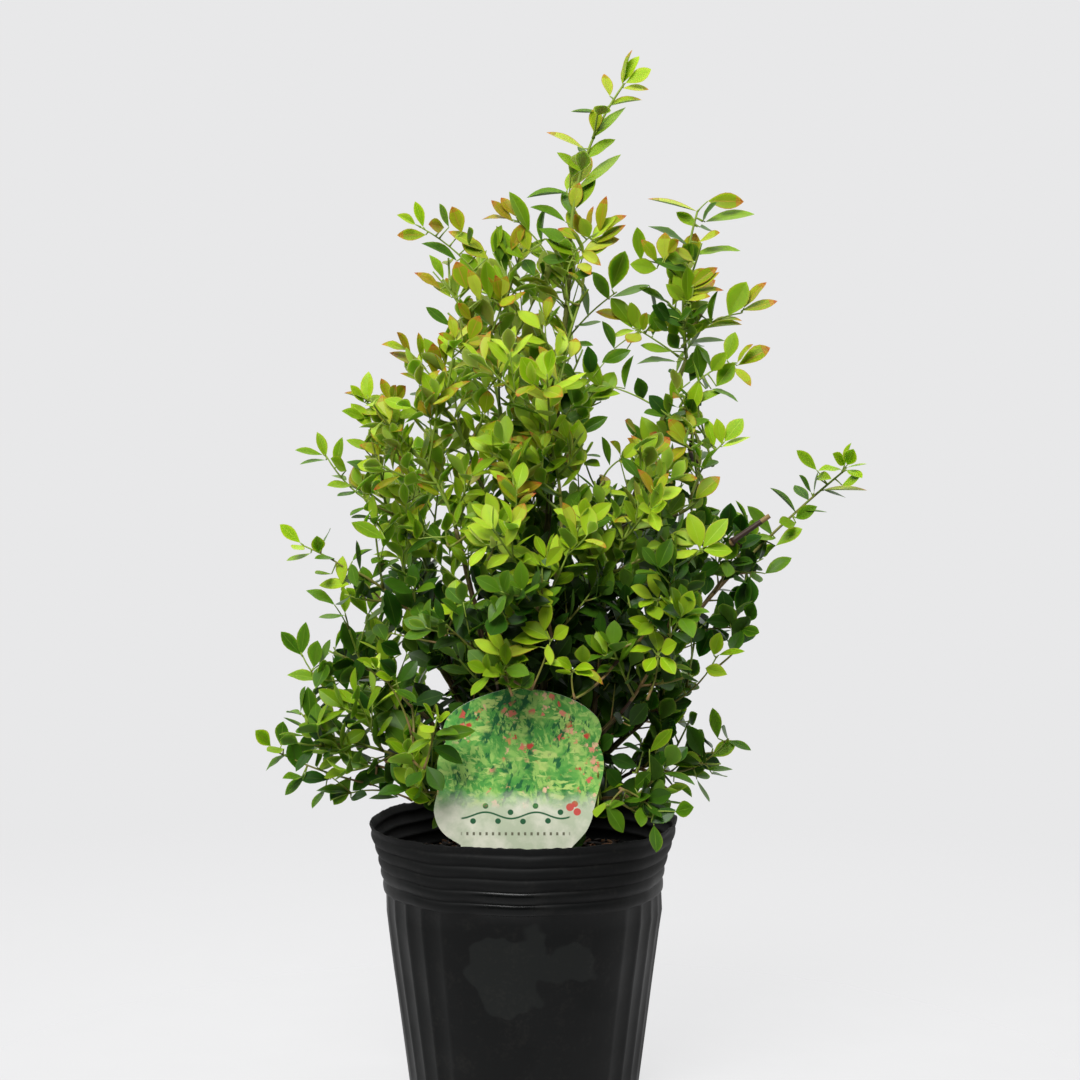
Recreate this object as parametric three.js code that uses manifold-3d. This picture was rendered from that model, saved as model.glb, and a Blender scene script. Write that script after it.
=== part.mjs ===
// A young wild blueberry bush in a soft black nursery pot: the thin corrugated pot with its drain holes,
// the potting mix, a printed plant label on its stake, a short trunk, one tapering bough for each mass of
// foliage, and the masses, which are twigs and leaves that branch by a seeded rule.
// Millimetres, +Z up. The origin is the centre of the pot's flat underside, and the label faces -Y.
import * as THREE from "three";
import { mergeVertices } from "three/addons/utils/BufferGeometryUtils.js";
import Module from "manifold-3d";

const wasm = await Module();
wasm.setup();

// ---------------------------------------------------------------- driving dimensions

const GAP = 0.3; // between solids that would touch
const UP = new THREE.Vector3(0, 0, 1);
const GOLDEN_TURN = 2.39996; // radians from one leaf or twig to the next

const POT = {
  height: 106,
  baseRadius: 44.5,
  shoulderRadius: 54.4, // top of the plain wall, under the collar
  rimRadius: 60,
  wall: 0.8,
  floor: 1.4,
  footBevel: 1.5,
  collarHeight: 27,
  ridges: 5,
  ridgeDepth: 1.1,
  lip: 3, // plain edge above the top ridge
  squareness: 0.02, // how far the rim is pressed out of round, as a share of its radius
  cornerTurn: 0.65, // where the pressed corners lie, in radians
  fluteBands: 3,
  flutesInBand: 4,
  fluteDepth: 0.9,
  fluteBandTurn: 3.4, // where the first band of flutes starts, in radians
  flutePitch: THREE.MathUtils.degToRad(10),
  drainHoles: 6,
  drainHoleRadius: 4,
  drainSides: 10,
  drainCircleRadius: 29,
};

const SOIL = {
  top: 89,
  foot: POT.floor + GAP,
  lump: 0.8,
  clearance: 0.6,
  moundRadius: 16,
  moundHeight: 1.5,
  ringRadii: [46, 34, 24], // of the loops of points between its edge and the mound
  edgeDrop: 1.5,
  segments: 26,
};

const TRUNK = {
  flareRadius: 10,
  waistRadius: 6.4,
  headRadius: 8.2,
  headHeight: 9.5,
  height: 19,
  flareHeight: 2.5,
  waistHeight: 5,
  segments: 12,
  standOff: 1.4, // from its head to the bough feet, beyond the gap
  seatAngle: 0.52, // least angle between two boughs on its head, in radians
};

const LABEL = {
  width: 63,
  height: 63, // printed head, from the neck up
  thickness: 0.8,
  neckWidth: 40,
  neckHeight: 6,
  stakeTop: 14,
  stakeTip: 4,
  stakeDepth: 36, // below the neck
  stakeShoulder: 4,
  lobeHeight: 22.7,
  notchHeight: 31.5,
  browHeight: 41.6,
  flankShares: [0.98, 1.02, 0.93], // of half the width, at the lobe, the notch and the brow
  curveSegments: 5,
  neckBottom: 101,
  across: -2,
  forward: -49,
};

// A bough's bend is a control point at these shares of its run and of its rise.
const BOUGH = { footRadius: 1.7, tipRadius: 0.9, runShare: 0.4, riseShare: 0.5, sides: 5, steps: 5 };
const SIDE_BOUGH = { footRadius: 1.15, tipRadius: 0.7, runShare: 0.5, riseShare: 0.42 };

const STEM = {
  bend: 0.4, // how far a stem keeps its bough's direction, as a share of its length
  spacePieces: 6, // straight pieces that its mass's space is measured along
};

const TWIG = {
  radius: 0.6,
  tipRadius: 0.4,
  sides: 3,
  collar: 3.1, // how far out a twig's first ring stands, in its radii
  firstShare: 0.05, // of the stem, at the lowest twig
  shareSpan: 0.83, // of the stem, from the lowest twig to the highest
  shareJitter: 0.4, // of the distance between two twigs
  turnJitter: 0.6,
  vigour: [0.92, 1.08], // of the space's radius
  lowLean: 1.05, // radians from the stem, for the lowest twig
  highLean: 0.6, // and for the highest
  leafShare: 0.42, // of a leaf's length, kept free beyond the twig's tip
  leastReach: 5,
  bend: 0.55,
  lift: 0.2, // how far a twig's tip turns up, as a share of its length
};

const LEAF = {
  length: 18.5,
  lengthSpan: [0.85, 1.1],
  widthShare: 0.6,
  widest: 0.46, // share of the length at which it is widest
  seat: 1, // length of twig that a leaf grows from, and so its thickness there
  seatPitch: 2.6, // least distance between two seats, in seats
  pitch: 6,
  turnJitter: 0.8,
  lean: 0.85,
  leanJitter: 0.25,
  tipLean: 0.3,
  rise: 0.12,
  light: 0.8, // how far a leaf turns to the light, which comes from above and from outside the crown
  clearance: 0.15, // between leaves of one mass
  reach: 0.25, // how far a leaf may stand out of its mass's space, in leaf lengths
  turnAside: [0, 0.9, -0.9, 1.8], // tried one after the other where a leaf has no room
  shorter: 0.85, // length of a leaf that is turned aside
};

// Where a bough leaves another mass's bough, at a share of its length, and not the trunk.
const FORKS = {
  leader_foot: { off: "leader_spire", at: 0.6 },
  right_spire_foot: { off: "right_spire", at: 0.62 },
  upper_middle: { off: "leader_spire", at: 0.45 },
  left_shoulder_high: { off: "upper_left", at: 0.7 },
  left_middle: { off: "left_side", at: 0.7 },
  front_high: { off: "front_middle", at: 0.75 },
  right_front: { off: "right_front_low", at: 0.75 },
  far_right: { off: "right_side", at: 0.8 },
  back_high: { off: "back_left", at: 0.7 },
};

// One entry for each mass of foliage. Its bough ends at "from", where its stem runs on to "to", and its
// twigs fill a space of the radii "spread" round that stem, at its start, middle and end. "leaf" is the
// leaf length where it differs from the usual.
const SHOOTS = {
  leader_spire: { from: [18, 0, 322], to: [41, 0, 390], spread: [16, 15, 9], twigs: 2, leaf: 15 },
  leader_foot: { from: [12, -4, 266], to: [32, -8, 334], spread: [20, 22, 14], twigs: 6 },
  right_spire: { from: [63, 5, 286], to: [76, 5, 345], spread: [24, 25, 14], twigs: 5, leaf: 16 },
  right_spire_foot: { from: [60, 2, 226], to: [70, -6, 284], spread: [24, 32, 26], twigs: 7 },
  upper_left: { from: [-9, 8, 262], to: [-43, 6, 332], spread: [22, 25, 12], twigs: 8 },
  upper_middle: { from: [-2, 22, 258], to: [-8, 24, 336], spread: [22, 24, 12], twigs: 7 },
  left_shoulder_high: { from: [-20, -12, 248], to: [-46, -18, 288], spread: [20, 23, 14], twigs: 6 },
  left_shoulder: { from: [-26, -18, 222], to: [-62, -18, 272], spread: [22, 26, 14], twigs: 7 },
  left_middle: { from: [-38, 6, 204], to: [-82, 6, 246], spread: [22, 22, 12], twigs: 6 },
  left_side: { from: [-38, -10, 180], to: [-84, -14, 214], spread: [22, 24, 12], twigs: 7 },
  left_low: { from: [-44, 2, 152], to: [-85, 4, 176], spread: [22, 22, 12], twigs: 6 },
  lower_left: { from: [-38, -14, 128], to: [-84, -16, 142], spread: [18, 24, 16], twigs: 7 },
  low_front_left: { from: [-22, -28, 118], to: [-44, -48, 126], spread: [14, 18, 14], twigs: 4 },
  front_high: { from: [14, -34, 220], to: [2, -36, 280], spread: [24, 28, 18], twigs: 8 },
  front_middle: { from: [10, -50, 180], to: [-8, -60, 224], spread: [22, 28, 20], twigs: 7 },
  front_low: { from: [-8, -40, 154], to: [-14, -62, 190], spread: [18, 24, 16], twigs: 6 },
  right_front: { from: [30, -38, 192], to: [50, -42, 242], spread: [22, 27, 18], twigs: 7 },
  right_front_low: { from: [36, -44, 154], to: [60, -50, 202], spread: [22, 25, 16], twigs: 7 },
  right_side: { from: [62, 8, 180], to: [92, 8, 214], spread: [24, 25, 16], twigs: 7 },
  far_right: { from: [84, 22, 206], to: [122, 14, 240], spread: [11, 12, 10], twigs: 2, leaf: 13 },
  right_low: { from: [46, -10, 146], to: [80, -14, 172], spread: [20, 24, 15], twigs: 6 },
  lower_right: { from: [38, -8, 124], to: [76, -8, 134], spread: [16, 20, 14], twigs: 6 },
  low_front_right: { from: [24, -30, 118], to: [46, -48, 122], spread: [14, 18, 14], twigs: 4 },
  back_high: { from: [8, 46, 224], to: [16, 52, 286], spread: [24, 28, 16], twigs: 8 },
  back_left: { from: [-30, 40, 178], to: [-52, 56, 234], spread: [24, 27, 16], twigs: 7 },
  back_right: { from: [36, 42, 176], to: [54, 54, 234], spread: [24, 27, 16], twigs: 7 },
  back_low_left: { from: [-36, 38, 130], to: [-70, 56, 158], spread: [18, 24, 14], twigs: 6 },
  back_low_right: { from: [36, 36, 130], to: [68, 54, 158], spread: [18, 24, 14], twigs: 6 },
};

// ---------------------------------------------------------------- solids

// The manifold-3d solid of a closed three.js geometry.
function solidOf(geometry) {
  const bare = geometry.clone();
  bare.deleteAttribute("normal");
  bare.deleteAttribute("uv");
  const merged = mergeVertices(bare, 1e-4);
  const vertProperties = new Float32Array(merged.attributes.position.array);
  const triVerts = new Uint32Array(merged.index.array);
  return new wasm.Manifold(new wasm.Mesh({ numProp: 3, vertProperties, triVerts }));
}

// The three.js geometry of a solid.
function geometryOf(solid) {
  const mesh = solid.getMesh();
  return new THREE.BufferGeometry()
    .setAttribute("position", new THREE.BufferAttribute(new Float32Array(mesh.vertProperties), 3))
    .setIndex(new THREE.BufferAttribute(new Uint32Array(mesh.triVerts), 1));
}

// A geometry with every vertex moved by place(vertex).
function reshaped(geometry, place) {
  const vertices = geometry.attributes.position;
  const vertex = new THREE.Vector3();
  for (let i = 0; i < vertices.count; i += 1) {
    place(vertex.fromBufferAttribute(vertices, i));
    vertices.setXYZ(i, vertex.x, vertex.y, vertex.z);
  }
  return geometry;
}

// A lathe's solid about +Z, from [radius, height] points.
function turned(points, segments) {
  const outline = points.map(([radius, height]) => new THREE.Vector2(radius, height));
  return new THREE.LatheGeometry(outline, segments).rotateX(Math.PI / 2);
}

// ---------------------------------------------------------------- pot

const SHOULDER = POT.height - POT.collarHeight;
const POT_STATIONS = POT.fluteBands * POT.flutesInBand * 4; // half of them in the flutes, at 2 a flute

// The direction of one station round the pot: close together in a band of flutes, wide apart between bands.
function potDirection(station) {
  const inBand = POT.flutesInBand * 2;
  const perBand = POT_STATIONS / POT.fluteBands;
  const band = Math.floor(station / perBand);
  const step = station - band * perBand;
  const bandWidth = POT.flutesInBand * POT.flutePitch;
  const plainWidth = (2 * Math.PI) / POT.fluteBands - bandWidth;
  const along = step <= inBand ? step / inBand : 1 + (step - inBand) / (perBand - inBand);
  const within = along <= 1 ? along * bandWidth : bandWidth + (along - 1) * plainWidth;
  return POT.fluteBandTurn + (band * 2 * Math.PI) / POT.fluteBands + within;
}

// How far the pot's wall is out of round at a height, as a factor on its radius.
function potSquash(direction, height) {
  return 1 + POT.squareness * (height / POT.height) * Math.cos(4 * (direction - POT.cornerTurn));
}

// The radius of the collar's ridges at a height.
function collarRadius(height) {
  const foot = POT.shoulderRadius + POT.ridgeDepth;
  return THREE.MathUtils.mapLinear(height, SHOULDER, POT.height, foot, POT.rimRadius);
}

function potOuterProfile() {
  const ridgePitch = (POT.collarHeight - POT.lip) / POT.ridges;
  const points = [
    [0, 0],
    [POT.baseRadius - POT.footBevel, 0],
    [POT.baseRadius, POT.footBevel],
    [POT.shoulderRadius, SHOULDER],
  ];
  for (let ridge = 0; ridge < POT.ridges; ridge += 1) {
    const crest = SHOULDER + (ridge + 0.5) * ridgePitch;
    const groove = SHOULDER + (ridge + 1) * ridgePitch;
    points.push([collarRadius(crest), crest], [collarRadius(groove) - POT.ridgeDepth, groove]);
  }
  points.push([POT.rimRadius, POT.height]);
  return points;
}

function potInnerProfile() {
  const lipFoot = POT.height - POT.lip;
  return [
    [POT.rimRadius - POT.wall, POT.height],
    [collarRadius(lipFoot) - POT.ridgeDepth - POT.wall, lipFoot],
    [POT.shoulderRadius - POT.wall, SHOULDER],
    [POT.baseRadius - POT.wall, POT.floor],
    [0, POT.floor],
  ];
}

// The pot turned as one shell, then fluted, pressed out of round and drilled.
function makePot() {
  const outer = potOuterProfile();
  const shell = turned([...outer, ...potInnerProfile()], POT_STATIONS);
  const perStation = outer.length + potInnerProfile().length;
  let index = 0;
  reshaped(shell, (vertex) => {
    const station = Math.floor(index / perStation) % POT_STATIONS;
    index += 1;
    const radius = Math.hypot(vertex.x, vertex.y);
    const direction = potDirection(station);
    const inFlutes = station % (POT_STATIONS / POT.fluteBands) < POT.flutesInBand * 2;
    const grooved = radius > 0 && vertex.z <= SHOULDER && inFlutes && station % 2 === 1;
    const bent = (radius - (grooved ? POT.fluteDepth : 0)) * potSquash(direction, vertex.z);
    vertex.set(bent * Math.cos(direction), bent * Math.sin(direction), vertex.z);
  });
  let pot = solidOf(shell);
  for (let hole = 0; hole < POT.drainHoles; hole += 1) {
    const direction = (hole * 2 * Math.PI) / POT.drainHoles;
    const [x, y] = [Math.cos(direction), Math.sin(direction)].map((share) => POT.drainCircleRadius * share);
    const { drainHoleRadius, drainSides } = POT;
    const drill = new THREE.CylinderGeometry(drainHoleRadius, drainHoleRadius, POT.floor * 3, drainSides)
      .rotateX(Math.PI / 2)
      .translate(x, y, 0);
    pot = pot.subtract(solidOf(drill));
  }
  return geometryOf(pot);
}

// ---------------------------------------------------------------- label

// The card's outline from its neck up: a wide lobe below, a notch at each side, and a domed head.
function labelShape(grow = 0) {
  const half = LABEL.width / 2 + grow;
  const neck = LABEL.neckWidth / 2 + grow;
  const stakeTop = LABEL.stakeTop / 2 + grow;
  const stakeTip = LABEL.stakeTip / 2 + grow;
  const [lobe, notch, brow] = LABEL.flankShares.map((share) => half * share);
  const shape = new THREE.Shape();
  shape.moveTo(-stakeTip, -LABEL.stakeDepth - grow);
  shape.lineTo(stakeTip, -LABEL.stakeDepth - grow);
  shape.lineTo(stakeTop, -LABEL.stakeShoulder);
  shape.lineTo(neck, 0);
  shape.lineTo(neck, LABEL.neckHeight);
  shape.quadraticCurveTo(half, LABEL.neckHeight * 2, lobe, LABEL.lobeHeight);
  shape.quadraticCurveTo(notch, LABEL.notchHeight, brow, LABEL.browHeight);
  shape.bezierCurveTo(brow, LABEL.height * 0.86, half * 0.45, LABEL.height, 0, LABEL.height);
  shape.bezierCurveTo(-half * 0.45, LABEL.height, -brow, LABEL.height * 0.86, -brow, LABEL.browHeight);
  shape.quadraticCurveTo(-notch, LABEL.notchHeight, -lobe, LABEL.lobeHeight);
  shape.quadraticCurveTo(-half, LABEL.neckHeight * 2, -neck, LABEL.neckHeight);
  shape.lineTo(-neck, 0);
  shape.lineTo(-stakeTop, -LABEL.stakeShoulder);
  return shape;
}

function makeLabel(grow = 0) {
  const depth = LABEL.thickness + 2 * grow;
  const { curveSegments } = LABEL;
  return new THREE.ExtrudeGeometry(labelShape(grow), { depth, bevelEnabled: false, curveSegments })
    .rotateX(Math.PI / 2)
    .translate(LABEL.across, LABEL.forward + depth / 2, LABEL.neckBottom);
}

// ---------------------------------------------------------------- potting mix

// The height of the mix: lumpy, with a low flat mound round the trunk.
function soilHeight(x, y) {
  const lumps = Math.sin(x * 0.31 + 1) * Math.cos(y * 0.27) + 0.6 * Math.sin(x * 0.13 - y * 0.41);
  const beyond = THREE.MathUtils.smoothstep(Math.hypot(x, y), SOIL.moundRadius, SOIL.moundRadius + 12);
  return SOIL.top + SOIL.moundHeight * (1 - beyond) + SOIL.lump * lumps * beyond;
}

function makeSoil() {
  const inset = POT.wall + POT.fluteDepth + SOIL.clearance;
  const mixRadius = (height) =>
    THREE.MathUtils.mapLinear(height, POT.floor, SHOULDER, POT.baseRadius, POT.shoulderRadius) - inset;
  const outline = [
    [0, SOIL.foot],
    [mixRadius(SOIL.foot), SOIL.foot],
    [mixRadius(SHOULDER), SHOULDER],
    [mixRadius(SOIL.top), SOIL.top - SOIL.edgeDrop],
    ...SOIL.ringRadii.map((radius) => [radius, SOIL.top]),
    [SOIL.moundRadius, SOIL.top],
    [0, SOIL.top],
  ];
  const ball = reshaped(turned(outline, SOIL.segments), (vertex) => {
    const radius = Math.hypot(vertex.x, vertex.y);
    const squash = radius > 0 ? potSquash(Math.atan2(vertex.y, vertex.x), vertex.z) : 1;
    if (vertex.z === SOIL.top) vertex.z = soilHeight(vertex.x, vertex.y);
    vertex.x *= squash;
    vertex.y *= squash;
  });
  return geometryOf(solidOf(ball).subtract(solidOf(makeLabel(GAP))));
}

// ---------------------------------------------------------------- trunk and boughs

const TRUNK_FOOT = SOIL.top + SOIL.moundHeight + GAP;
const HEAD = new THREE.Vector3(0, 0, TRUNK_FOOT + TRUNK.height - TRUNK.headHeight);

// The stool that every bough springs from: a flat cut, a root flare, a waist and a rounded head.
function makeTrunk() {
  const outline = [
    [0, 0],
    [TRUNK.flareRadius, 0],
    [(TRUNK.flareRadius + 2 * TRUNK.waistRadius) / 3, TRUNK.flareHeight],
    [TRUNK.waistRadius, TRUNK.waistHeight],
    [TRUNK.headRadius, TRUNK.height - TRUNK.headHeight],
    [TRUNK.headRadius * 0.78, TRUNK.height - TRUNK.headHeight * 0.38],
    [TRUNK.headRadius * 0.42, TRUNK.height - TRUNK.headHeight * 0.1],
    [0, TRUNK.height],
  ];
  return turned(outline, TRUNK.segments).translate(0, 0, TRUNK_FOOT);
}

// A limb's curve: it leaves flatter and turns up, by sharing out its run and its rise unevenly.
function limbCurve(start, end, runShare, riseShare) {
  const turn = new THREE.Vector3(
    THREE.MathUtils.lerp(start.x, end.x, runShare),
    THREE.MathUtils.lerp(start.y, end.y, runShare),
    THREE.MathUtils.lerp(start.z, end.z, riseShare),
  );
  return new THREE.QuadraticBezierCurve3(start, turn, end);
}

// Two directions square to a tangent, the first of them level.
function acrossOf(tangent) {
  const level = new THREE.Vector3().crossVectors(UP, tangent);
  if (level.length() < 0.05) level.set(1, 0, 0).addScaledVector(tangent, -tangent.x);
  level.normalize();
  return [level, new THREE.Vector3().crossVectors(tangent, level)];
}

// A tapered cylinder bent along a curve.
function limbGeometry(curve, footRadius, tipRadius, sides, steps) {
  const limb = new THREE.CylinderGeometry(tipRadius, footRadius, 1, sides, steps);
  return reshaped(limb, (vertex) => {
    const share = vertex.y + 0.5;
    const [level, rise] = acrossOf(curve.getTangent(share));
    const { x, z } = vertex;
    vertex.copy(curve.getPoint(share)).addScaledVector(level, x).addScaledVector(rise, -z);
  });
}

function pointOf(triple) {
  return new THREE.Vector3(...triple);
}

// Where the boughs that spring from the trunk sit on its head: towards their ends, pushed a set angle apart.
function trunkSeats(names) {
  const seats = names.map((name) => pointOf(SHOOTS[name].from).sub(HEAD).normalize());
  for (let round = 0; round < 200; round += 1) {
    for (let a = 0; a < seats.length; a += 1) {
      for (let b = a + 1; b < seats.length; b += 1) {
        const angle = seats[a].angleTo(seats[b]);
        if (angle >= TRUNK.seatAngle) continue;
        const apart = seats[a].clone().sub(seats[b]).setLength((TRUNK.seatAngle - angle) / 2);
        seats[a].add(apart).normalize();
        seats[b].sub(apart).normalize();
      }
    }
  }
  return new Map(names.map((name, i) => [name, seats[i]]));
}

// A bough from a start to its mass, as its curve and its two radii.
function boughFrom(start, name, { runShare, riseShare, footRadius, tipRadius }) {
  const curve = limbCurve(start, pointOf(SHOOTS[name].from), runShare, riseShare);
  return { curve, foot: footRadius, tip: tipRadius };
}

// Every bough. One that forks off another starts beside it, clear by the gap.
function makeBoughs() {
  const boughs = new Map();
  const main = Object.keys(SHOOTS).filter((name) => !FORKS[name]);
  const seats = trunkSeats(main);
  for (const name of main) {
    const standOff = TRUNK.headRadius + GAP + TRUNK.standOff;
    boughs.set(name, boughFrom(seats.get(name).clone().multiplyScalar(standOff).add(HEAD), name, BOUGH));
  }
  for (const [name, { off, at }] of Object.entries(FORKS)) {
    const parent = boughs.get(off);
    const fork = parent.curve.getPoint(at);
    const tangent = parent.curve.getTangent(at);
    const aside = pointOf(SHOOTS[name].from).sub(fork);
    aside.addScaledVector(tangent, -aside.dot(tangent)).normalize();
    const standOff = THREE.MathUtils.lerp(parent.foot, parent.tip, at) + GAP + SIDE_BOUGH.footRadius;
    boughs.set(name, boughFrom(fork.clone().addScaledVector(aside, standOff), name, SIDE_BOUGH));
  }
  return boughs;
}

const boughs = makeBoughs();

function boughMesh({ curve, foot, tip }) {
  return limbGeometry(curve, foot, tip, BOUGH.sides, BOUGH.steps);
}

// ---------------------------------------------------------------- where foliage may be

// A seeded source of numbers from 0 to 1, so that every run grows the same bush.
function seededRandom(seed) {
  let state = seed >>> 0;
  return () => {
    state = (state + 0x6d2b79f5) | 0;
    let mixed = Math.imul(state ^ (state >>> 15), 1 | state);
    mixed = (mixed + Math.imul(mixed ^ (mixed >>> 7), 61 | mixed)) ^ mixed;
    return ((mixed ^ (mixed >>> 14)) >>> 0) / 4294967296;
  };
}

function spreadAt(shoot, share) {
  const [start, middle, end] = shoot.spread;
  return share < 0.5
    ? THREE.MathUtils.lerp(start, middle, share * 2)
    : THREE.MathUtils.lerp(middle, end, share * 2 - 1);
}

// A curve as straight pieces with a radius at each end.
function pieces(curve, radiusAt, count) {
  const found = [];
  for (let i = 0; i < count; i += 1) {
    const line = new THREE.Line3(curve.getPoint(i / count), curve.getPoint((i + 1) / count));
    found.push({ line, from: radiusAt(i / count), to: radiusAt((i + 1) / count) });
  }
  return found;
}

const nearest = new THREE.Vector3();

// How far a point lies outside the nearest of some pieces, negative inside.
function outside(point, chain) {
  let least = Infinity;
  for (const { line, from, to } of chain) {
    const share = line.closestPointToPointParameter(point, true);
    line.at(share, nearest);
    least = Math.min(least, nearest.distanceTo(point) - THREE.MathUtils.lerp(from, to, share));
  }
  return least;
}

// Each mass's stem, which starts clear of its bough's tip and turns to its own end.
const stems = new Map(
  Object.entries(SHOOTS).map(([name, shoot]) => {
    const onward = boughs.get(name).curve.getTangent(1);
    const start = pointOf(shoot.from).addScaledVector(onward, GAP);
    const end = pointOf(shoot.to);
    const turn = start.clone().addScaledVector(onward, start.distanceTo(end) * STEM.bend);
    return [name, new THREE.QuadraticBezierCurve3(start, turn, end)];
  }),
);
// And the space round it.
const spaces = new Map(
  [...stems].map(([name, stem]) => {
    const radiusAt = (share) => spreadAt(SHOOTS[name], share);
    return [name, pieces(stem, radiusAt, STEM.spacePieces)];
  }),
);

// True if a point is in the mass's own space and nearer to it than to any other.
function inOwnSpace(name, point, margin) {
  const own = outside(point, spaces.get(name));
  if (own > LEAF.length * LEAF.reach) return false;
  for (const [other, space] of spaces) {
    if (other !== name && outside(point, space) < own + 2 * margin) return false;
  }
  return true;
}

// ---------------------------------------------------------------- twigs and leaves

const PROBE_STEPS = 8;

// The direction at an angle from a tangent, turned round it.
function leaning(tangent, turn, lean) {
  const [level, rise] = acrossOf(tangent);
  return tangent
    .clone()
    .multiplyScalar(Math.cos(lean))
    .addScaledVector(level, Math.sin(lean) * Math.cos(turn))
    .addScaledVector(rise, Math.sin(lean) * Math.sin(turn));
}

function turnRound(tangent, direction) {
  const [level, rise] = acrossOf(tangent);
  return Math.atan2(direction.dot(rise), direction.dot(level));
}

// A mass's stem and the side twigs that leave it a golden turn apart and curve upwards.
function growTwigs(name) {
  const shoot = SHOOTS[name];
  const curve = stems.get(name);
  const random = seededRandom(Object.keys(SHOOTS).indexOf(name) + 11);
  const leafLength = shoot.leaf ?? LEAF.length;
  const stem = { curve, foot: SIDE_BOUGH.tipRadius, tip: TWIG.tipRadius, leafLength };
  const twigs = [];
  for (let i = 0; i < shoot.twigs; i += 1) {
    const place = i + (1 - TWIG.shareJitter) / 2 + TWIG.shareJitter * random();
    const share = TWIG.firstShare + (TWIG.shareSpan * place) / shoot.twigs;
    const turn = GOLDEN_TURN * i + TWIG.turnJitter * random();
    const vigour = THREE.MathUtils.lerp(...TWIG.vigour, random());
    const lean = THREE.MathUtils.lerp(TWIG.lowLean, TWIG.highLean, share);
    const direction = leaning(curve.getTangent(share), turn, lean);
    const reach = Math.max(spreadAt(shoot, share) * vigour - leafLength * TWIG.leafShare, TWIG.leastReach);
    const length = reach / Math.sin(lean);
    const start = curve.getPoint(share);
    const middle = start.clone().addScaledVector(direction, length * TWIG.bend);
    const end = start.clone().addScaledVector(direction, length);
    end.z += TWIG.lift * length;
    const grown = new THREE.QuadraticBezierCurve3(start, middle, end);
    const limb = { curve: grown, foot: TWIG.radius, tip: TWIG.tipRadius, leafLength };
    twigs.push({ share, direction, limb });
  }
  return { stem, twigs, random };
}

// The three points round a limb at a share of its length, the first of them at an angle.
function ringAt({ curve, foot, tip }, share, angle) {
  const radius = THREE.MathUtils.lerp(foot, tip, share);
  const tangent = curve.getTangent(share);
  return Array.from({ length: TWIG.sides }, (_, side) => {
    const outward = leaning(tangent, angle + (2 * Math.PI * side) / TWIG.sides, Math.PI / 2);
    return curve.getPoint(share).addScaledVector(outward, radius);
  });
}

// The rings below and above the seat of an organ, turned so that their first side faces the way that it grows.
function seatRings(limb, { share, direction }) {
  const halfSeat = LEAF.seat / 2 / limb.curve.getLength();
  const angle = turnRound(limb.curve.getTangent(share), direction) - Math.PI / TWIG.sides;
  return [ringAt(limb, share - halfSeat, angle), ringAt(limb, share + halfSeat, angle)];
}

// A leaf that sits on a limb at a share of its length, with its upper side turned to the light.
function leafOn(limb, share, turn, lean, length) {
  const tangent = limb.curve.getTangent(share);
  const direction = leaning(tangent, turn, lean);
  direction.z += LEAF.rise;
  direction.normalize();
  const outward = leaning(tangent, turn, Math.PI / 2);
  const face = outward.clone().multiplyScalar(-Math.cos(lean)).addScaledVector(tangent, Math.sin(lean));
  const site = limb.curve.getPoint(share);
  face.addScaledVector(new THREE.Vector3(site.x, site.y, 0).normalize().add(UP), LEAF.light);
  face.addScaledVector(direction, -face.dot(direction)).normalize();
  const across = new THREE.Vector3().crossVectors(face, direction);
  if (across.dot(new THREE.Vector3().crossVectors(tangent, outward)) < 0) across.negate();
  const root = site.clone().addScaledVector(outward, THREE.MathUtils.lerp(limb.foot, limb.tip, share));
  const middle = root.clone().addScaledVector(direction, length * LEAF.widest);
  const halfWidth = (length * LEAF.widthShare) / 2;
  const [lower, upper] = seatRings(limb, { share, direction });
  return {
    share,
    direction,
    across,
    seat: [lower[0], lower[1], upper[1], upper[0]],
    left: middle.clone().addScaledVector(across, -halfWidth),
    right: middle.clone().addScaledVector(across, halfWidth),
    tip: root.clone().addScaledVector(direction, length),
  };
}

// The places for leaves on a limb: a golden turn apart, the last one carrying on past the limb's tip.
function leafSites(limb, random) {
  const length = limb.curve.getLength();
  const count = Math.max(2, Math.round(length / LEAF.pitch));
  return Array.from({ length: count }, (_, i) => ({
    share: Math.min((i + 1) / count, 1 - (0.6 * LEAF.seat) / length),
    turn: GOLDEN_TURN * i + LEAF.turnJitter * random(),
    lean: i === count - 1 ? LEAF.tipLean : LEAF.lean + LEAF.leanJitter * (random() - 0.5),
    length: limb.leafLength * THREE.MathUtils.lerp(...LEAF.lengthSpan, random()),
  }));
}

// A leaf as a closed solid of its own, grown by a margin, to test its room with.
function leafProbe({ direction, across, seat, left, right, tip }, margin) {
  const probe = new Skin();
  const middle = seat.reduce((sum, corner) => sum.add(corner), new THREE.Vector3()).divideScalar(seat.length);
  const base = seat.map((corner) => {
    const aside = corner.clone().sub(middle);
    return probe.corner(corner.clone().addScaledVector(aside, margin / aside.length()));
  });
  probe.wall(...[...base].reverse());
  probe.leaf(base, {
    left: left.clone().addScaledVector(across, -margin),
    right: right.clone().addScaledVector(across, margin),
    tip: tip.clone().addScaledVector(direction, margin),
  });
  return solidOf(probe.geometry());
}

// A limb clear of the one that it leaves, grown by a margin, to test its room with.
function limbProbe({ curve, foot, tip }, margin) {
  const start = (SIDE_BOUGH.tipRadius + margin) / curve.getLength();
  const turn = curve.v1.clone().lerp(curve.v2, start);
  const free = new THREE.QuadraticBezierCurve3(curve.getPoint(start), turn, curve.v2);
  return solidOf(limbGeometry(free, foot + margin, tip + margin, TWIG.sides, PROBE_STEPS));
}

// True if a shape is clear of everything in a list.
function isClear(shape, others) {
  return others.every((other) => shape.intersect(other).isEmpty());
}

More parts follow.
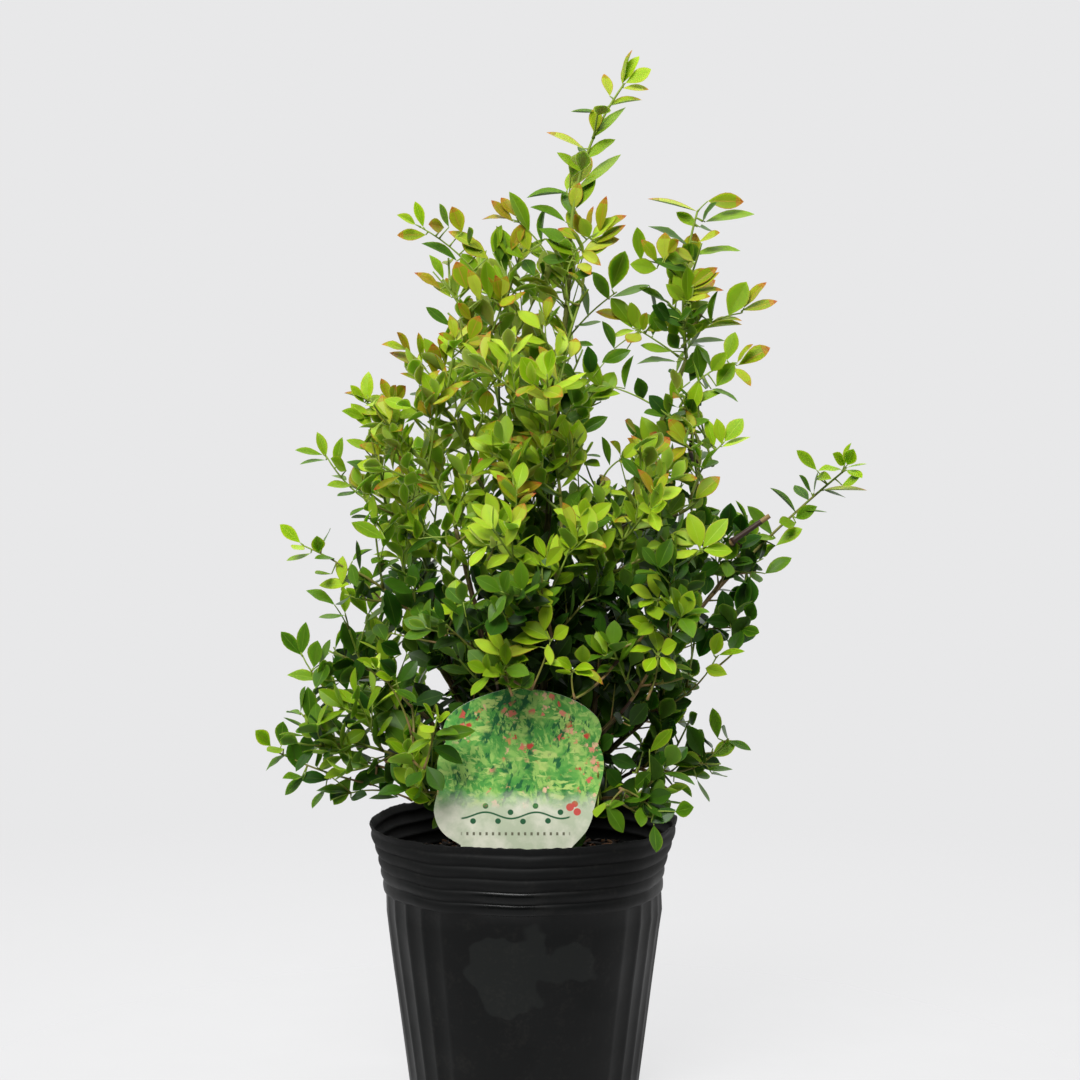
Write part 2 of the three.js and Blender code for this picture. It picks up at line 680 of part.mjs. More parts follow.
// True if a twig stays in its mass's space, clear of all that is made and of the twigs beside it.
function twigHasRoom(name, { limb }, made, beside) {
  for (let i = 2; i <= 5; i += 1) {
    if (!inOwnSpace(name, limb.curve.getPoint(i / 5), limb.foot + GAP)) return false;
  }
  return isClear(limbProbe(limb, GAP), made) && isClear(limbProbe(limb, LEAF.clearance), beside);
}

// The same for a leaf.
function leafHasRoom(name, leaf, made, beside) {
  const middle = leaf.left.clone().lerp(leaf.right, 0.5);
  const points = [middle, leaf.left, leaf.right, leaf.tip];
  if (!points.every((point) => inOwnSpace(name, point, GAP))) return false;
  return isClear(leafProbe(leaf, GAP), made) && isClear(leafProbe(leaf, LEAF.clearance), beside);
}

// The leaves that have room on a limb. One that has none is tried again turned to either side and shorter.
function growLeaves(name, limb, sites, made, beside) {
  const leaves = [];
  for (const { share, turn, lean, length } of sites) {
    const tries = LEAF.turnAside.map((aside) =>
      leafOn(limb, share, turn + aside, lean, length * (aside ? LEAF.shorter : 1)),
    );
    const leaf = tries.find((candidate) => leafHasRoom(name, candidate, made, beside));
    if (!leaf) continue;
    leaves.push(leaf);
    beside.push(leafProbe(leaf, 0));
  }
  return leaves;
}

// ---------------------------------------------------------------- the closed skin of a mass

// One closed surface that limbs, twigs and leaves are added to. Its faces wind anticlockwise seen from outside.
class Skin {
  corners = [];
  faces = [];

  corner(point) {
    this.corners.push(point.x, point.y, point.z);
    return this.corners.length / 3 - 1;
  }

  span(one, other) {
    const [a, b] = [one, other].map((corner) => new THREE.Vector3().fromArray(this.corners, corner * 3));
    return a.distanceTo(b);
  }

  ring(points) {
    return points.map((point) => this.corner(point));
  }

  // Two triangles over four corners, split along the shorter diagonal.
  wall(a, b, c, d) {
    if (this.span(a, c) < this.span(b, d)) this.faces.push(a, b, c, a, c, d);
    else this.faces.push(a, b, d, b, c, d);
  }

  // The walls between two rings, matched so that they twist least.
  tube(lower, upper) {
    const below = (k) => lower[k % TWIG.sides];
    const twist = (shift) => upper.reduce((sum, corner, k) => sum + this.span(corner, below(k + shift)), 0);
    const shift = [0, 1, 2].reduce((best, next) => (twist(next) < twist(best) ? next : best));
    for (let k = 0; k < TWIG.sides; k += 1) {
      this.wall(below(k + shift), below(k + shift + 1), upper[(k + 1) % TWIG.sides], upper[k]);
    }
  }

  // A leaf of eight faces on the four corners of its seat.
  leaf([a, b, c, d], leaf) {
    const left = this.corner(leaf.left);
    const right = this.corner(leaf.right);
    const tip = this.corner(leaf.tip);
    this.faces.push(a, b, tip, b, c, right, c, d, tip, d, a, left);
    this.faces.push(tip, b, right, c, tip, right, tip, d, left, a, tip, left);
  }

  // A side twig on the four corners of its seat, and all that grows on it.
  twig([a, b, c, d], { limb, direction }, tangent) {
    const up = tangent.clone().addScaledVector(direction, -tangent.dot(direction));
    const clear = (TWIG.collar * limb.foot) / Math.sin(tangent.angleTo(direction));
    const share = clear / limb.curve.getLength();
    const angle = turnRound(limb.curve.getTangent(share), up) + Math.PI;
    const [e, f, g] = this.ring(ringAt(limb, share, angle));
    this.faces.push(a, b, e, b, f, e, b, c, f, c, d, f, d, g, f, d, a, g, a, e, g);
    this.limb([e, f, g], limb);
  }

  // A limb from a ring at its foot, with its leaves and side twigs in order, and its flat end.
  limb(ring, limb) {
    let last = ring;
    for (const organ of limb.organs) {
      const [lower, upper] = seatRings(limb, organ).map((points) => this.ring(points));
      this.tube(last, lower);
      this.wall(lower[1], lower[2], upper[2], upper[1]);
      this.wall(lower[2], lower[0], upper[0], upper[2]);
      const seat = [lower[0], lower[1], upper[1], upper[0]];
      if (organ.limb) this.twig(seat, organ, limb.curve.getTangent(organ.share));
      else this.leaf(seat, organ);
      last = upper;
    }
    this.faces.push(...last);
  }

  geometry() {
    return new THREE.BufferGeometry()
      .setAttribute("position", new THREE.Float32BufferAttribute(this.corners, 3))
      .setIndex(this.faces);
  }
}

// Leaf places moved clear of the seats of a limb's side twigs, without any that still has no seat of its own.
function seated(sites, limb, twigs) {
  const room = (LEAF.seatPitch * LEAF.seat) / limb.curve.getLength();
  const taken = twigs.map(({ share }) => share);
  const kept = [];
  for (const site of sites) {
    const near = taken.find((share) => Math.abs(share - site.share) < room) ?? null;
    const moved = near === null ? site.share : near + room * (site.share < near ? -1 : 1);
    if (moved < room || moved > 1 || taken.some((share) => Math.abs(share - moved) < room * 0.99)) continue;
    taken.push(moved);
    kept.push({ ...site, share: moved });
  }
  return kept;
}

function inOrder(organs) {
  return organs.sort((a, b) => a.share - b.share);
}

// One mass: the twigs that have room, then their leaves, then the stem's own, all in one skin.
function makeFoliage(name, made) {
  const { stem, twigs, random } = growTwigs(name);
  const sites = [stem, ...twigs.map(({ limb }) => limb)].map((limb) => leafSites(limb, random));
  const wood = [limbProbe(stem, 0)];
  const grown = [];
  twigs.forEach((twig, i) => {
    if (!twigHasRoom(name, twig, made, wood.slice(1))) return;
    wood.push(limbProbe(twig.limb, 0));
    grown.push({ ...twig, sites: sites[i + 1] });
  });
  const leaves = [];
  grown.forEach((twig, i) => {
    const beside = [...wood.filter((_, k) => k !== i + 1), ...leaves];
    const before = beside.length;
    const own = growLeaves(name, twig.limb, twig.sites, made, beside);
    leaves.push(...beside.slice(before));
    twig.limb.organs = inOrder(own);
  });
  const own = growLeaves(name, stem, seated(sites[0], stem, grown), made, [...wood.slice(1), ...leaves]);
  stem.organs = inOrder([...grown, ...own]);
  const skin = new Skin();
  const foot = skin.ring(ringAt(stem, 0, 0));
  skin.faces.push(foot[2], foot[1], foot[0]);
  skin.limb(foot, stem);
  return skin.geometry();
}

// ---------------------------------------------------------------- assembly

const MATERIALS = {
  pot: new THREE.MeshStandardMaterial({ name: "pot", color: 0x1d1e1f, roughness: 0.45, metalness: 0 }),
  soil: new THREE.MeshStandardMaterial({ name: "soil", color: 0x3a2418, roughness: 0.95, metalness: 0 }),
  card: new THREE.MeshStandardMaterial({ name: "card", color: 0xdcdfc8, roughness: 0.4, metalness: 0 }),
  bark: new THREE.MeshStandardMaterial({ name: "bark", color: 0x5a4a2c, roughness: 0.85, metalness: 0 }),
  leaves: new THREE.MeshStandardMaterial({ name: "leaves", color: 0x4f7f1d, roughness: 0.5, metalness: 0 }),
};

function named(name, geometry, material) {
  const mesh = new THREE.Mesh(geometry, material);
  mesh.name = name;
  return mesh;
}

const bush = new THREE.Group();
const made = [];

function add(name, geometry, material) {
  made.push(solidOf(geometry));
  bush.add(named(name, geometry, material));
}

add("pot", makePot(), MATERIALS.pot);
add("soil", makeSoil(), MATERIALS.soil);
add("label", makeLabel(), MATERIALS.card);
add("trunk", makeTrunk(), MATERIALS.bark);
for (const [name, bough] of boughs) add(`bough_${name}`, boughMesh(bough), MATERIALS.bark);
for (const name of Object.keys(SHOOTS)) add(`foliage_${name}`, makeFoliage(name, made), MATERIALS.leaves);

export default bush;
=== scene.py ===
"""Dresses a young blueberry bush in its nursery pot: leaves, twigs, bark, pot, potting mix and plant label."""

import logging
import math
import random
from collections.abc import Callable, Sequence
from dataclasses import dataclass, field
from enum import Enum

import bmesh
import bpy
import numpy as np
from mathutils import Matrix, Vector, noise


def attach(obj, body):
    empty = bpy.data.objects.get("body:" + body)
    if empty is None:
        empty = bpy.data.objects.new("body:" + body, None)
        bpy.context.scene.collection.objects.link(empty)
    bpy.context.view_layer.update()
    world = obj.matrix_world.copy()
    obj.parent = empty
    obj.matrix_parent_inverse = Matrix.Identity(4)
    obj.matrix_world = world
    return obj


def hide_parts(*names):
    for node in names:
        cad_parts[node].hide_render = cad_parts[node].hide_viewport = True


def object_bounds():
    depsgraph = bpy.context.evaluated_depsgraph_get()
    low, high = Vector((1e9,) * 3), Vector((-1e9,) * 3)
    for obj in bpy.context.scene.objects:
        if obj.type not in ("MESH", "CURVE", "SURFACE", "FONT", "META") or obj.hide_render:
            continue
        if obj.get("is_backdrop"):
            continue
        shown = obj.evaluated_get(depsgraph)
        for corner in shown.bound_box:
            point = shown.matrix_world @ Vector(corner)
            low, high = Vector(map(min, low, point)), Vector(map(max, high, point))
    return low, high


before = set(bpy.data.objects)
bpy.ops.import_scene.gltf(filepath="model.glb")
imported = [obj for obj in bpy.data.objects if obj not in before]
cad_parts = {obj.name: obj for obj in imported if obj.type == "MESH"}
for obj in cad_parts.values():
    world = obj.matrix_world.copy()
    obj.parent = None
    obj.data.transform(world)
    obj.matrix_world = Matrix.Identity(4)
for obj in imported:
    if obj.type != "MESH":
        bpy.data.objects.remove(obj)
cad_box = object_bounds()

log = logging.getLogger("blueberry_bush")

MM = 0.001  # the growing rule works in millimetres, and meshes are in metres
GAP = 0.3  # between solids that would touch, in millimetres
WELD = 1e-4  # corners nearer than this are merged, in the mesh's own unit
UP = np.array([0.0, 0.0, 1.0])
UP_Z = Vector((0.0, 0.0, 1.0))
GOLDEN_TURN = 2.39996  # radians from one leaf or twig to the next
TWIG_SEED, YOUTH_SEED, LAID_SEED = 11, 501, 90000  # first seeds of a stem's twigs, a mass's tints and the laid twigs
BODY = "root"


# ---------------------------------------------------------------- small tools


def colour(red: int, green: int, blue: int) -> tuple[float, float, float, float]:
    """Turns a screen colour into the linear one that a shader takes.

    Args:
        red: Red from 0 to 255.
        green: Green from 0 to 255.
        blue: Blue from 0 to 255.

    Returns:
        Linear red, green, blue and an alpha of 1.
    """
    shares = (value / 255 for value in (red, green, blue))
    linear = [s / 12.92 if s <= 0.04045 else ((s + 0.055) / 1.055) ** 2.4 for s in shares]
    return (*linear, 1.0)


def lerp(start: float, end: float, share: float) -> float:
    """Returns the value at a share of the way from start to end."""
    return start + (end - start) * share


def smoothstep(value: float, low: float, high: float) -> float:
    """Returns 0 below low, 1 above high and a smooth ramp between them."""
    share = min(max((value - low) / (high - low), 0.0), 1.0)
    return share * share * (3 - 2 * share)


def unit(vector: np.ndarray) -> np.ndarray:
    """Returns the vector at length 1."""
    return vector / np.linalg.norm(vector)


def seeded(seed: int) -> Callable[[], float]:
    """Makes the growing rule's source of numbers from 0 to 1, the same in every run.

    Args:
        seed: Number that the sequence starts from.

    Returns:
        A function that gives the next number.
    """
    mask = 0xFFFFFFFF
    state = seed & mask

    def draw() -> float:
        """Returns the next number from 0 to 1."""
        nonlocal state
        state = (state + 0x6D2B79F5) & mask
        mixed = ((state ^ (state >> 15)) * (1 | state)) & mask
        mixed = ((mixed + (((mixed ^ (mixed >> 7)) * (61 | mixed)) & mask)) & mask) ^ mixed
        return (mixed ^ (mixed >> 14)) / 4294967296

    return draw


@dataclass
class Stamp:
    """A small mesh as arrays, which is copied many times into a joined piece."""

    corners: np.ndarray
    loops: np.ndarray
    counts: np.ndarray
    finishes: np.ndarray
    sharp: np.ndarray

    @classmethod
    def take(cls, mesh: bmesh.types.BMesh) -> "Stamp":
        """Reads a finished bmesh and frees it.

        Args:
            mesh: The bmesh, with material indices and sharp edges set.

        Returns:
            The stamp.
        """
        mesh.verts.index_update()
        stamp = cls(
            np.array([vert.co for vert in mesh.verts], float),
            np.array([vert.index for face in mesh.faces for vert in face.verts], int),
            np.array([len(face.verts) for face in mesh.faces], int),
            np.array([face.material_index for face in mesh.faces], int),
            np.array([[v.index for v in e.verts] for e in mesh.edges if not e.smooth], int).reshape(-1, 2),
        )
        mesh.free()
        return stamp


class JoinedMesh:
    """Many copies of stamps, gathered as arrays and made into one object."""

    def __init__(self, name: str) -> None:
        """Starts an empty piece of the given name."""
        self.name = name
        self.total = 0
        self.parts: dict[str, list[np.ndarray]] = {key: [] for key in ("co", "loops", "counts", "finish", "sharp")}
        self.runs: list[np.ndarray] = []

    def add(self, stamp: Stamp, points: np.ndarray, finishes: np.ndarray | None = None) -> None:
        """Adds copies of a stamp at new places.

        Args:
            stamp: The mesh that is copied.
            points: Corners of each copy in millimetres, of the shape copies, corners, 3.
            finishes: Material index of each face of each copy, or None for the stamp's own.
        """
        copies, corners = points.shape[:2]
        starts = self.total + corners * np.arange(copies)
        self.parts["co"].append(points.reshape(-1, 3) * MM)
        self.parts["loops"].append((stamp.loops[None, :] + starts[:, None]).ravel())
        self.parts["counts"].append(np.tile(stamp.counts, copies))
        own = np.tile(stamp.finishes, copies) if finishes is None else finishes.ravel()
        self.parts["finish"].append(own)
        self.parts["sharp"].append((stamp.sharp[None] + starts[:, None, None]).reshape(-1, 2))
        self.total += copies * corners

    def build(self, materials: Sequence[bpy.types.Material]) -> bpy.types.Object:
        """Makes the object.

        Args:
            materials: Its materials, in the order of the material indices.

        Returns:
            The linked object.
        """
        joined = {key: np.concatenate(arrays) for key, arrays in self.parts.items()}
        mesh = bpy.data.meshes.new(self.name)
        mesh.vertices.add(len(joined["co"]))
        mesh.vertices.foreach_set("co", joined["co"].astype(np.float32).ravel())
        mesh.loops.add(len(joined["loops"]))
        mesh.loops.foreach_set("vertex_index", joined["loops"].astype(np.int32))
        mesh.polygons.add(len(joined["counts"]))
        begins = np.concatenate([[0], np.cumsum(joined["counts"])[:-1]]).astype(np.int32)
        mesh.polygons.foreach_set("loop_start", begins)
        mesh.polygons.foreach_set("material_index", joined["finish"].astype(np.int32))
        mesh.update(calc_edges=True)
        mesh.polygons.foreach_set("use_smooth", np.ones(len(begins), bool))
        if len(joined["sharp"]):
            mark_sharp(mesh, joined["sharp"])
        if self.runs:
            run = mesh.attributes.new("run", "FLOAT_VECTOR", "POINT")
            run.data.foreach_set("vector", (np.concatenate(self.runs) * MM).astype(np.float32).ravel())
        mesh.validate()
        return linked(self.name, mesh, materials)


def linked(name: str, mesh: bpy.types.Mesh, materials: Sequence[bpy.types.Material]) -> bpy.types.Object:
    """Links a new object of a mesh.

    Args:
        name: Name of the object.
        mesh: The mesh.
        materials: Its materials, in the order of the material indices.

    Returns:
        The object.
    """
    for material in materials:
        mesh.materials.append(material)
    piece = bpy.data.objects.new(name, mesh)
    bpy.context.scene.collection.objects.link(piece)
    return piece


def mark_sharp(mesh: bpy.types.Mesh, pairs: np.ndarray) -> None:
    """Marks edges of a mesh as sharp.

    Args:
        mesh: The mesh, with its edges made.
        pairs: Vertex indices of the sharp edges, two a row.
    """
    size = len(mesh.vertices)
    ends = np.zeros(len(mesh.edges) * 2, np.int32)
    mesh.edges.foreach_get("vertices", ends)
    ends = np.sort(ends.reshape(-1, 2), axis=1).astype(np.int64)
    wanted = np.sort(pairs, axis=1).astype(np.int64)
    found = np.isin(ends[:, 0] * size + ends[:, 1], wanted[:, 0] * size + wanted[:, 1])
    sharp = mesh.attributes.get("sharp_edge") or mesh.attributes.new("sharp_edge", "BOOLEAN", "EDGE")
    sharp.data.foreach_set("value", found)


def object_of(name: str, mesh: bmesh.types.BMesh, materials: Sequence[bpy.types.Material]) -> bpy.types.Object:
    """Makes an object of a bmesh that is in metres, and frees the bmesh.

    Args:
        name: Name of the piece.
        mesh: The bmesh.
        materials: Its materials, in the order of the material indices.

    Returns:
        The linked object.
    """
    data = bpy.data.meshes.new(name)
    mesh.to_mesh(data)
    mesh.free()
    return linked(name, data, materials)


def turned(outline: Sequence[tuple[float, float]], steps: int) -> bmesh.types.BMesh:
    """Turns a profile round the upright axis into a closed shape.

    Args:
        outline: Radius and height of each point, from the axis back to the axis.
        steps: Steps round the axis.

    Returns:
        The bmesh.
    """
    mesh = bmesh.new()
    verts = [mesh.verts.new((radius, 0, height)) for radius, height in outline]
    edges = [mesh.edges.new(pair) for pair in zip(verts, verts[1:])]
    bmesh.ops.spin(
        mesh, geom=verts + edges, axis=(0, 0, 1), cent=(0, 0, 0), steps=steps, angle=math.tau, use_merge=True
    )
    bmesh.ops.remove_doubles(mesh, verts=mesh.verts, dist=WELD)
    bmesh.ops.recalc_face_normals(mesh, faces=mesh.faces)
    return mesh


def smooth_in_metres(mesh: bmesh.types.BMesh) -> None:
    """Scales a bmesh from millimetres to metres and shades it smooth."""
    bmesh.ops.scale(mesh, vec=(MM, MM, MM), verts=mesh.verts)
    for face in mesh.faces:
        face.smooth = True


def report(piece: bpy.types.Object) -> None:
    """Sets a finished piece on its body and logs its size.

    Args:
        piece: The piece.
    """
    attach(piece, BODY)
    triangles = sum(len(face.vertices) - 2 for face in piece.data.polygons)
    log.info("%s: %d triangles", piece.name, triangles)


# ---------------------------------------------------------------- finishes


class Sheet:
    """A node tree that nodes are added to and joined on in one go."""

    def __init__(self, tree: bpy.types.NodeTree) -> None:
        """Takes the tree that the nodes go into."""
        self.tree = tree

    @classmethod
    def of_material(cls, name: str) -> tuple["Sheet", bpy.types.Material]:
        """Starts a material with an output node only.

        Args:
            name: Name of the material.

        Returns:
            The sheet of its nodes, and the material.
        """
        material = bpy.data.materials.new(name)
        material.use_nodes = True
        material.node_tree.nodes.clear()
        return cls(material.node_tree), material

    def add(self, kind: str, inputs: dict | None = None, **settings: object) -> bpy.types.Node:
        """Adds a node.

        Args:
            kind: Type of the node, such as ShaderNodeTexNoise.
            inputs: Value or output socket for each input, by its name or number.
            **settings: Properties of the node.

        Returns:
            The node.
        """
        node = self.tree.nodes.new(kind)
        for key, value in settings.items():
            setattr(node, key, value)
        for key, value in (inputs or {}).items():
            if isinstance(value, bpy.types.NodeSocket):
                self.tree.links.new(value, node.inputs[key])
            else:
                node.inputs[key].default_value = value
        return node

    def sums(self, operation: str, first: object, second: object = 0.0, third: object = 0.5) -> bpy.types.NodeSocket:
        """Returns the output of a maths node on up to three values or sockets."""
        return self.add("ShaderNodeMath", {0: first, 1: second, 2: third}, operation=operation).outputs[0]

    def times(self, first: object, second: object) -> bpy.types.NodeSocket:
        """Returns one value or socket multiplied by another."""
        return self.sums("MULTIPLY", first, second)

    def away(self, value: bpy.types.NodeSocket, level: object) -> bpy.types.NodeSocket:
        """Returns how far a value lies from a level, to either side of it."""
        return self.sums("ABSOLUTE", self.sums("SUBTRACT", value, level))

    def ramp(self, factor: bpy.types.NodeSocket, stops: Sequence[tuple]) -> bpy.types.NodeSocket:
        """Adds a colour ramp.

        Args:
            factor: Socket that drives it.
            stops: Places from 0 to 1, each with its screen colour or grey value.

        Returns:
            Its colour output.
        """
        node = self.add("ShaderNodeValToRGB", {"Fac": factor})
        elements = node.color_ramp.elements
        while len(elements) < len(stops):
            elements.new(0.5)
        for element, (place, shade) in zip(elements, stops):
            element.position = place
            element.color = colour(*shade) if isinstance(shade, tuple) else (shade, shade, shade, 1)
        return node.outputs["Color"]

    def rise(self, factor: bpy.types.NodeSocket, low: float, high: float) -> bpy.types.NodeSocket:
        """Returns a mask that is 0 where the factor is below low and 1 where it is above high."""
        return self.ramp(factor, ((low, 0.0), (high, 1.0)))

    def fall(self, factor: bpy.types.NodeSocket, low: float, high: float) -> bpy.types.NodeSocket:
        """Returns a mask that is 1 where the factor is below low and 0 where it is above high."""
        return self.ramp(factor, ((low, 1.0), (high, 0.0)))

    def mix(self, factor: object, first: object, second: object, blend: str = "MIX") -> bpy.types.NodeSocket:
        """Adds a colour mix.

        Args:
            factor: Share of the second colour.
            first: Colour or socket below.
            second: Colour or socket above.
            blend: Way of mixing.

        Returns:
            Its colour output.
        """
        inputs = {0: factor, 6: first, 7: second}
        return self.add("ShaderNodeMix", inputs, data_type="RGBA", blend_type=blend).outputs[2]

    def place(self, scale: Sequence[float] = (1, 1, 1), turn: Sequence[float] = (0, 0, 0)) -> bpy.types.NodeSocket:
        """Returns the object's own coordinates in metres, scaled and turned."""
        here = self.add("ShaderNodeTexCoord").outputs["Object"]
        return self.add("ShaderNodeMapping", {"Vector": here, "Scale": scale, "Rotation": turn}).outputs[0]

    def axes(self, where: bpy.types.NodeSocket | None = None) -> bpy.types.bpy_prop_collection:
        """Returns the outputs X, Y and Z of a place, by default of the object's own coordinates."""
        return self.add("ShaderNodeSeparateXYZ", {0: self.place() if where is None else where}).outputs

    def noise(self, where: object, scale: object, detail: float = 4, rough: float = 0.5) -> bpy.types.NodeSocket:
        """Returns the grey value of a noise of a scale in cells a metre."""
        inputs = {"Vector": where, "Scale": scale, "Detail": detail, "Roughness": rough}
        return self.add("ShaderNodeTexNoise", inputs).outputs["Fac"]

    def bump(self, height: bpy.types.NodeSocket, strength: float, depth: float) -> bpy.types.NodeSocket:
        """Returns the normal of a relief of a depth in metres."""
        return self.add("ShaderNodeBump", {"Height": height, "Strength": strength, "Distance": depth}).outputs[0]

    def finish(self, **inputs: object) -> None:
        """Adds the shader and the output, with a value or socket for each named input, _ standing for a space."""
        named = {key.replace("_", " "): value for key, value in inputs.items()}
        shader = self.add("ShaderNodeBsdfPrincipled", named)
        self.add("ShaderNodeOutputMaterial", {"Surface": shader.outputs[0]})


class SpeckleGroup:
    """The node group for specks of dust, grit and print: a mask that comes and goes over the surface."""

    name = "speckle"

    @classmethod
    def tree(cls) -> bpy.types.NodeTree:
        """Builds the group once.

        Returns:
            The group, with the inputs Vector, Scale and Amount and the output Mask.
        """
        if cls.name in bpy.data.node_groups:
            return bpy.data.node_groups[cls.name]
        tree = bpy.data.node_groups.new(cls.name, "ShaderNodeTree")
        tree.interface.new_socket("Vector", in_out="INPUT", socket_type="NodeSocketVector")
        for name, value in (("Scale", 100.0), ("Amount", 0.5)):
            tree.interface.new_socket(name, in_out="INPUT", socket_type="NodeSocketFloat").default_value = value
        tree.interface.new_socket("Mask", in_out="OUTPUT", socket_type="NodeSocketFloat")
        sheet = Sheet(tree)
        given = sheet.add("NodeGroupInput")
        where, scale, amount = given.outputs[:3]
        both = sheet.times(sheet.noise(where, scale, 3), sheet.noise(where, sheet.times(scale, 5.3), 5))
        raised = sheet.times(both, sheet.times(amount, 6.0))
        mask = sheet.add("ShaderNodeClamp", {"Value": sheet.sums("SUBTRACT", raised, 0.6)}).outputs[0]
        sheet.add("NodeGroupOutput", {"Mask": mask})
        return tree

    @classmethod
    def mask(cls, sheet: Sheet, where: bpy.types.NodeSocket, scale: float, amount: float) -> bpy.types.NodeSocket:
        """Places the group in a material.

        Args:
            sheet: The material's nodes.
            where: Coordinates.
            scale: Cells a metre.
            amount: How much is speckled, from 0 to 1.

        Returns:
            The mask.
        """
        inputs = {"Vector": where, "Scale": scale, "Amount": amount}
        return sheet.add("ShaderNodeGroup", inputs, node_tree=cls.tree()).outputs["Mask"]


# ---------------------------------------------------------------- growing rule


@dataclass
class Limb:
    """A bough, stem, twig or sprig: a bent line with a radius at each end, in millimetres."""

    start: np.ndarray
    turn: np.ndarray
    end: np.ndarray
    foot: float
    tip: float

    def point(self, share: float) -> np.ndarray:
        """Returns the point at a share of the limb."""
        rest = 1 - share
        return rest * rest * self.start + 2 * rest * share * self.turn + share * share * self.end

    def tangent(self, share: float) -> np.ndarray:
        """Returns the direction that the limb runs in at a share of it."""
        return unit((1 - share) * (self.turn - self.start) + share * (self.end - self.turn))

    def radius(self, share: float) -> float:
        """Returns the radius at a share of the limb."""
        return lerp(self.foot, self.tip, share)

    @classmethod
    def through(cls, start: np.ndarray, middle: np.ndarray, end: np.ndarray, foot: float, tip: float) -> "Limb":
        """Makes a limb that passes through a middle point.

        Args:
            start: Its foot.
            middle: The point that it passes through.
            end: Its tip.
            foot: Radius at its foot.
            tip: Radius at its tip.

        Returns:
            The limb.
        """
        near, far = np.linalg.norm(middle - start), np.linalg.norm(end - middle)
        share = float(near / (near + far))
        turn = (middle - (1 - share) ** 2 * start - share**2 * end) / (2 * share * (1 - share))
        return cls(start, turn, end, foot, tip)

    def cut(self, share: float) -> "Limb":
        """Returns the part of the limb up to a share of it."""
        turn = self.start + (self.turn - self.start) * share
        return Limb(self.start, turn, self.point(share), self.foot, self.radius(share))

    def nearest(self, point: np.ndarray) -> np.ndarray:
        """Returns the point of the limb that lies nearest to another point."""
        return min((self.point(i / 24) for i in range(25)), key=lambda own: float(np.linalg.norm(own - point)))

    @property
    def length(self) -> float:
        """The limb's length."""
        points = [self.point(i / 12) for i in range(13)]
        return float(sum(np.linalg.norm(b - a) for a, b in zip(points, points[1:])))


def across_of(tangent: np.ndarray) -> tuple[np.ndarray, np.ndarray]:
    """Returns two directions square to a tangent, the first of them level."""
    level = np.cross(UP, tangent)
    if np.linalg.norm(level) < 0.05:
        level = np.array([1.0, 0.0, 0.0]) - tangent * tangent[0]
    level = unit(level)
    return level, np.cross(tangent, level)


def leaning(tangent: np.ndarray, turn: float, lean: float) -> np.ndarray:
    """Returns the direction at an angle from a tangent, turned round it."""
    level, rise = across_of(tangent)
    aside = level * math.cos(turn) + rise * math.sin(turn)
    return tangent * math.cos(lean) + aside * math.sin(lean)


@dataclass(frozen=True)
class Shoot:
    """One mass of foliage: its stem's two ends, the space round it, its side twigs and its look."""

    foot: tuple[float, float, float]
    top: tuple[float, float, float]
    spread: tuple[float, float, float]
    twigs: int
    youth: float = 0.0
    leaf: float = 12.0
    pitch: float = 4.1

    def spread_at(self, share: float) -> float:
        """Returns the radius of the space at a share of the stem."""
        low, middle, high = self.spread
        return lerp(low, middle, share * 2) if share < 0.5 else lerp(middle, high, share * 2 - 1)


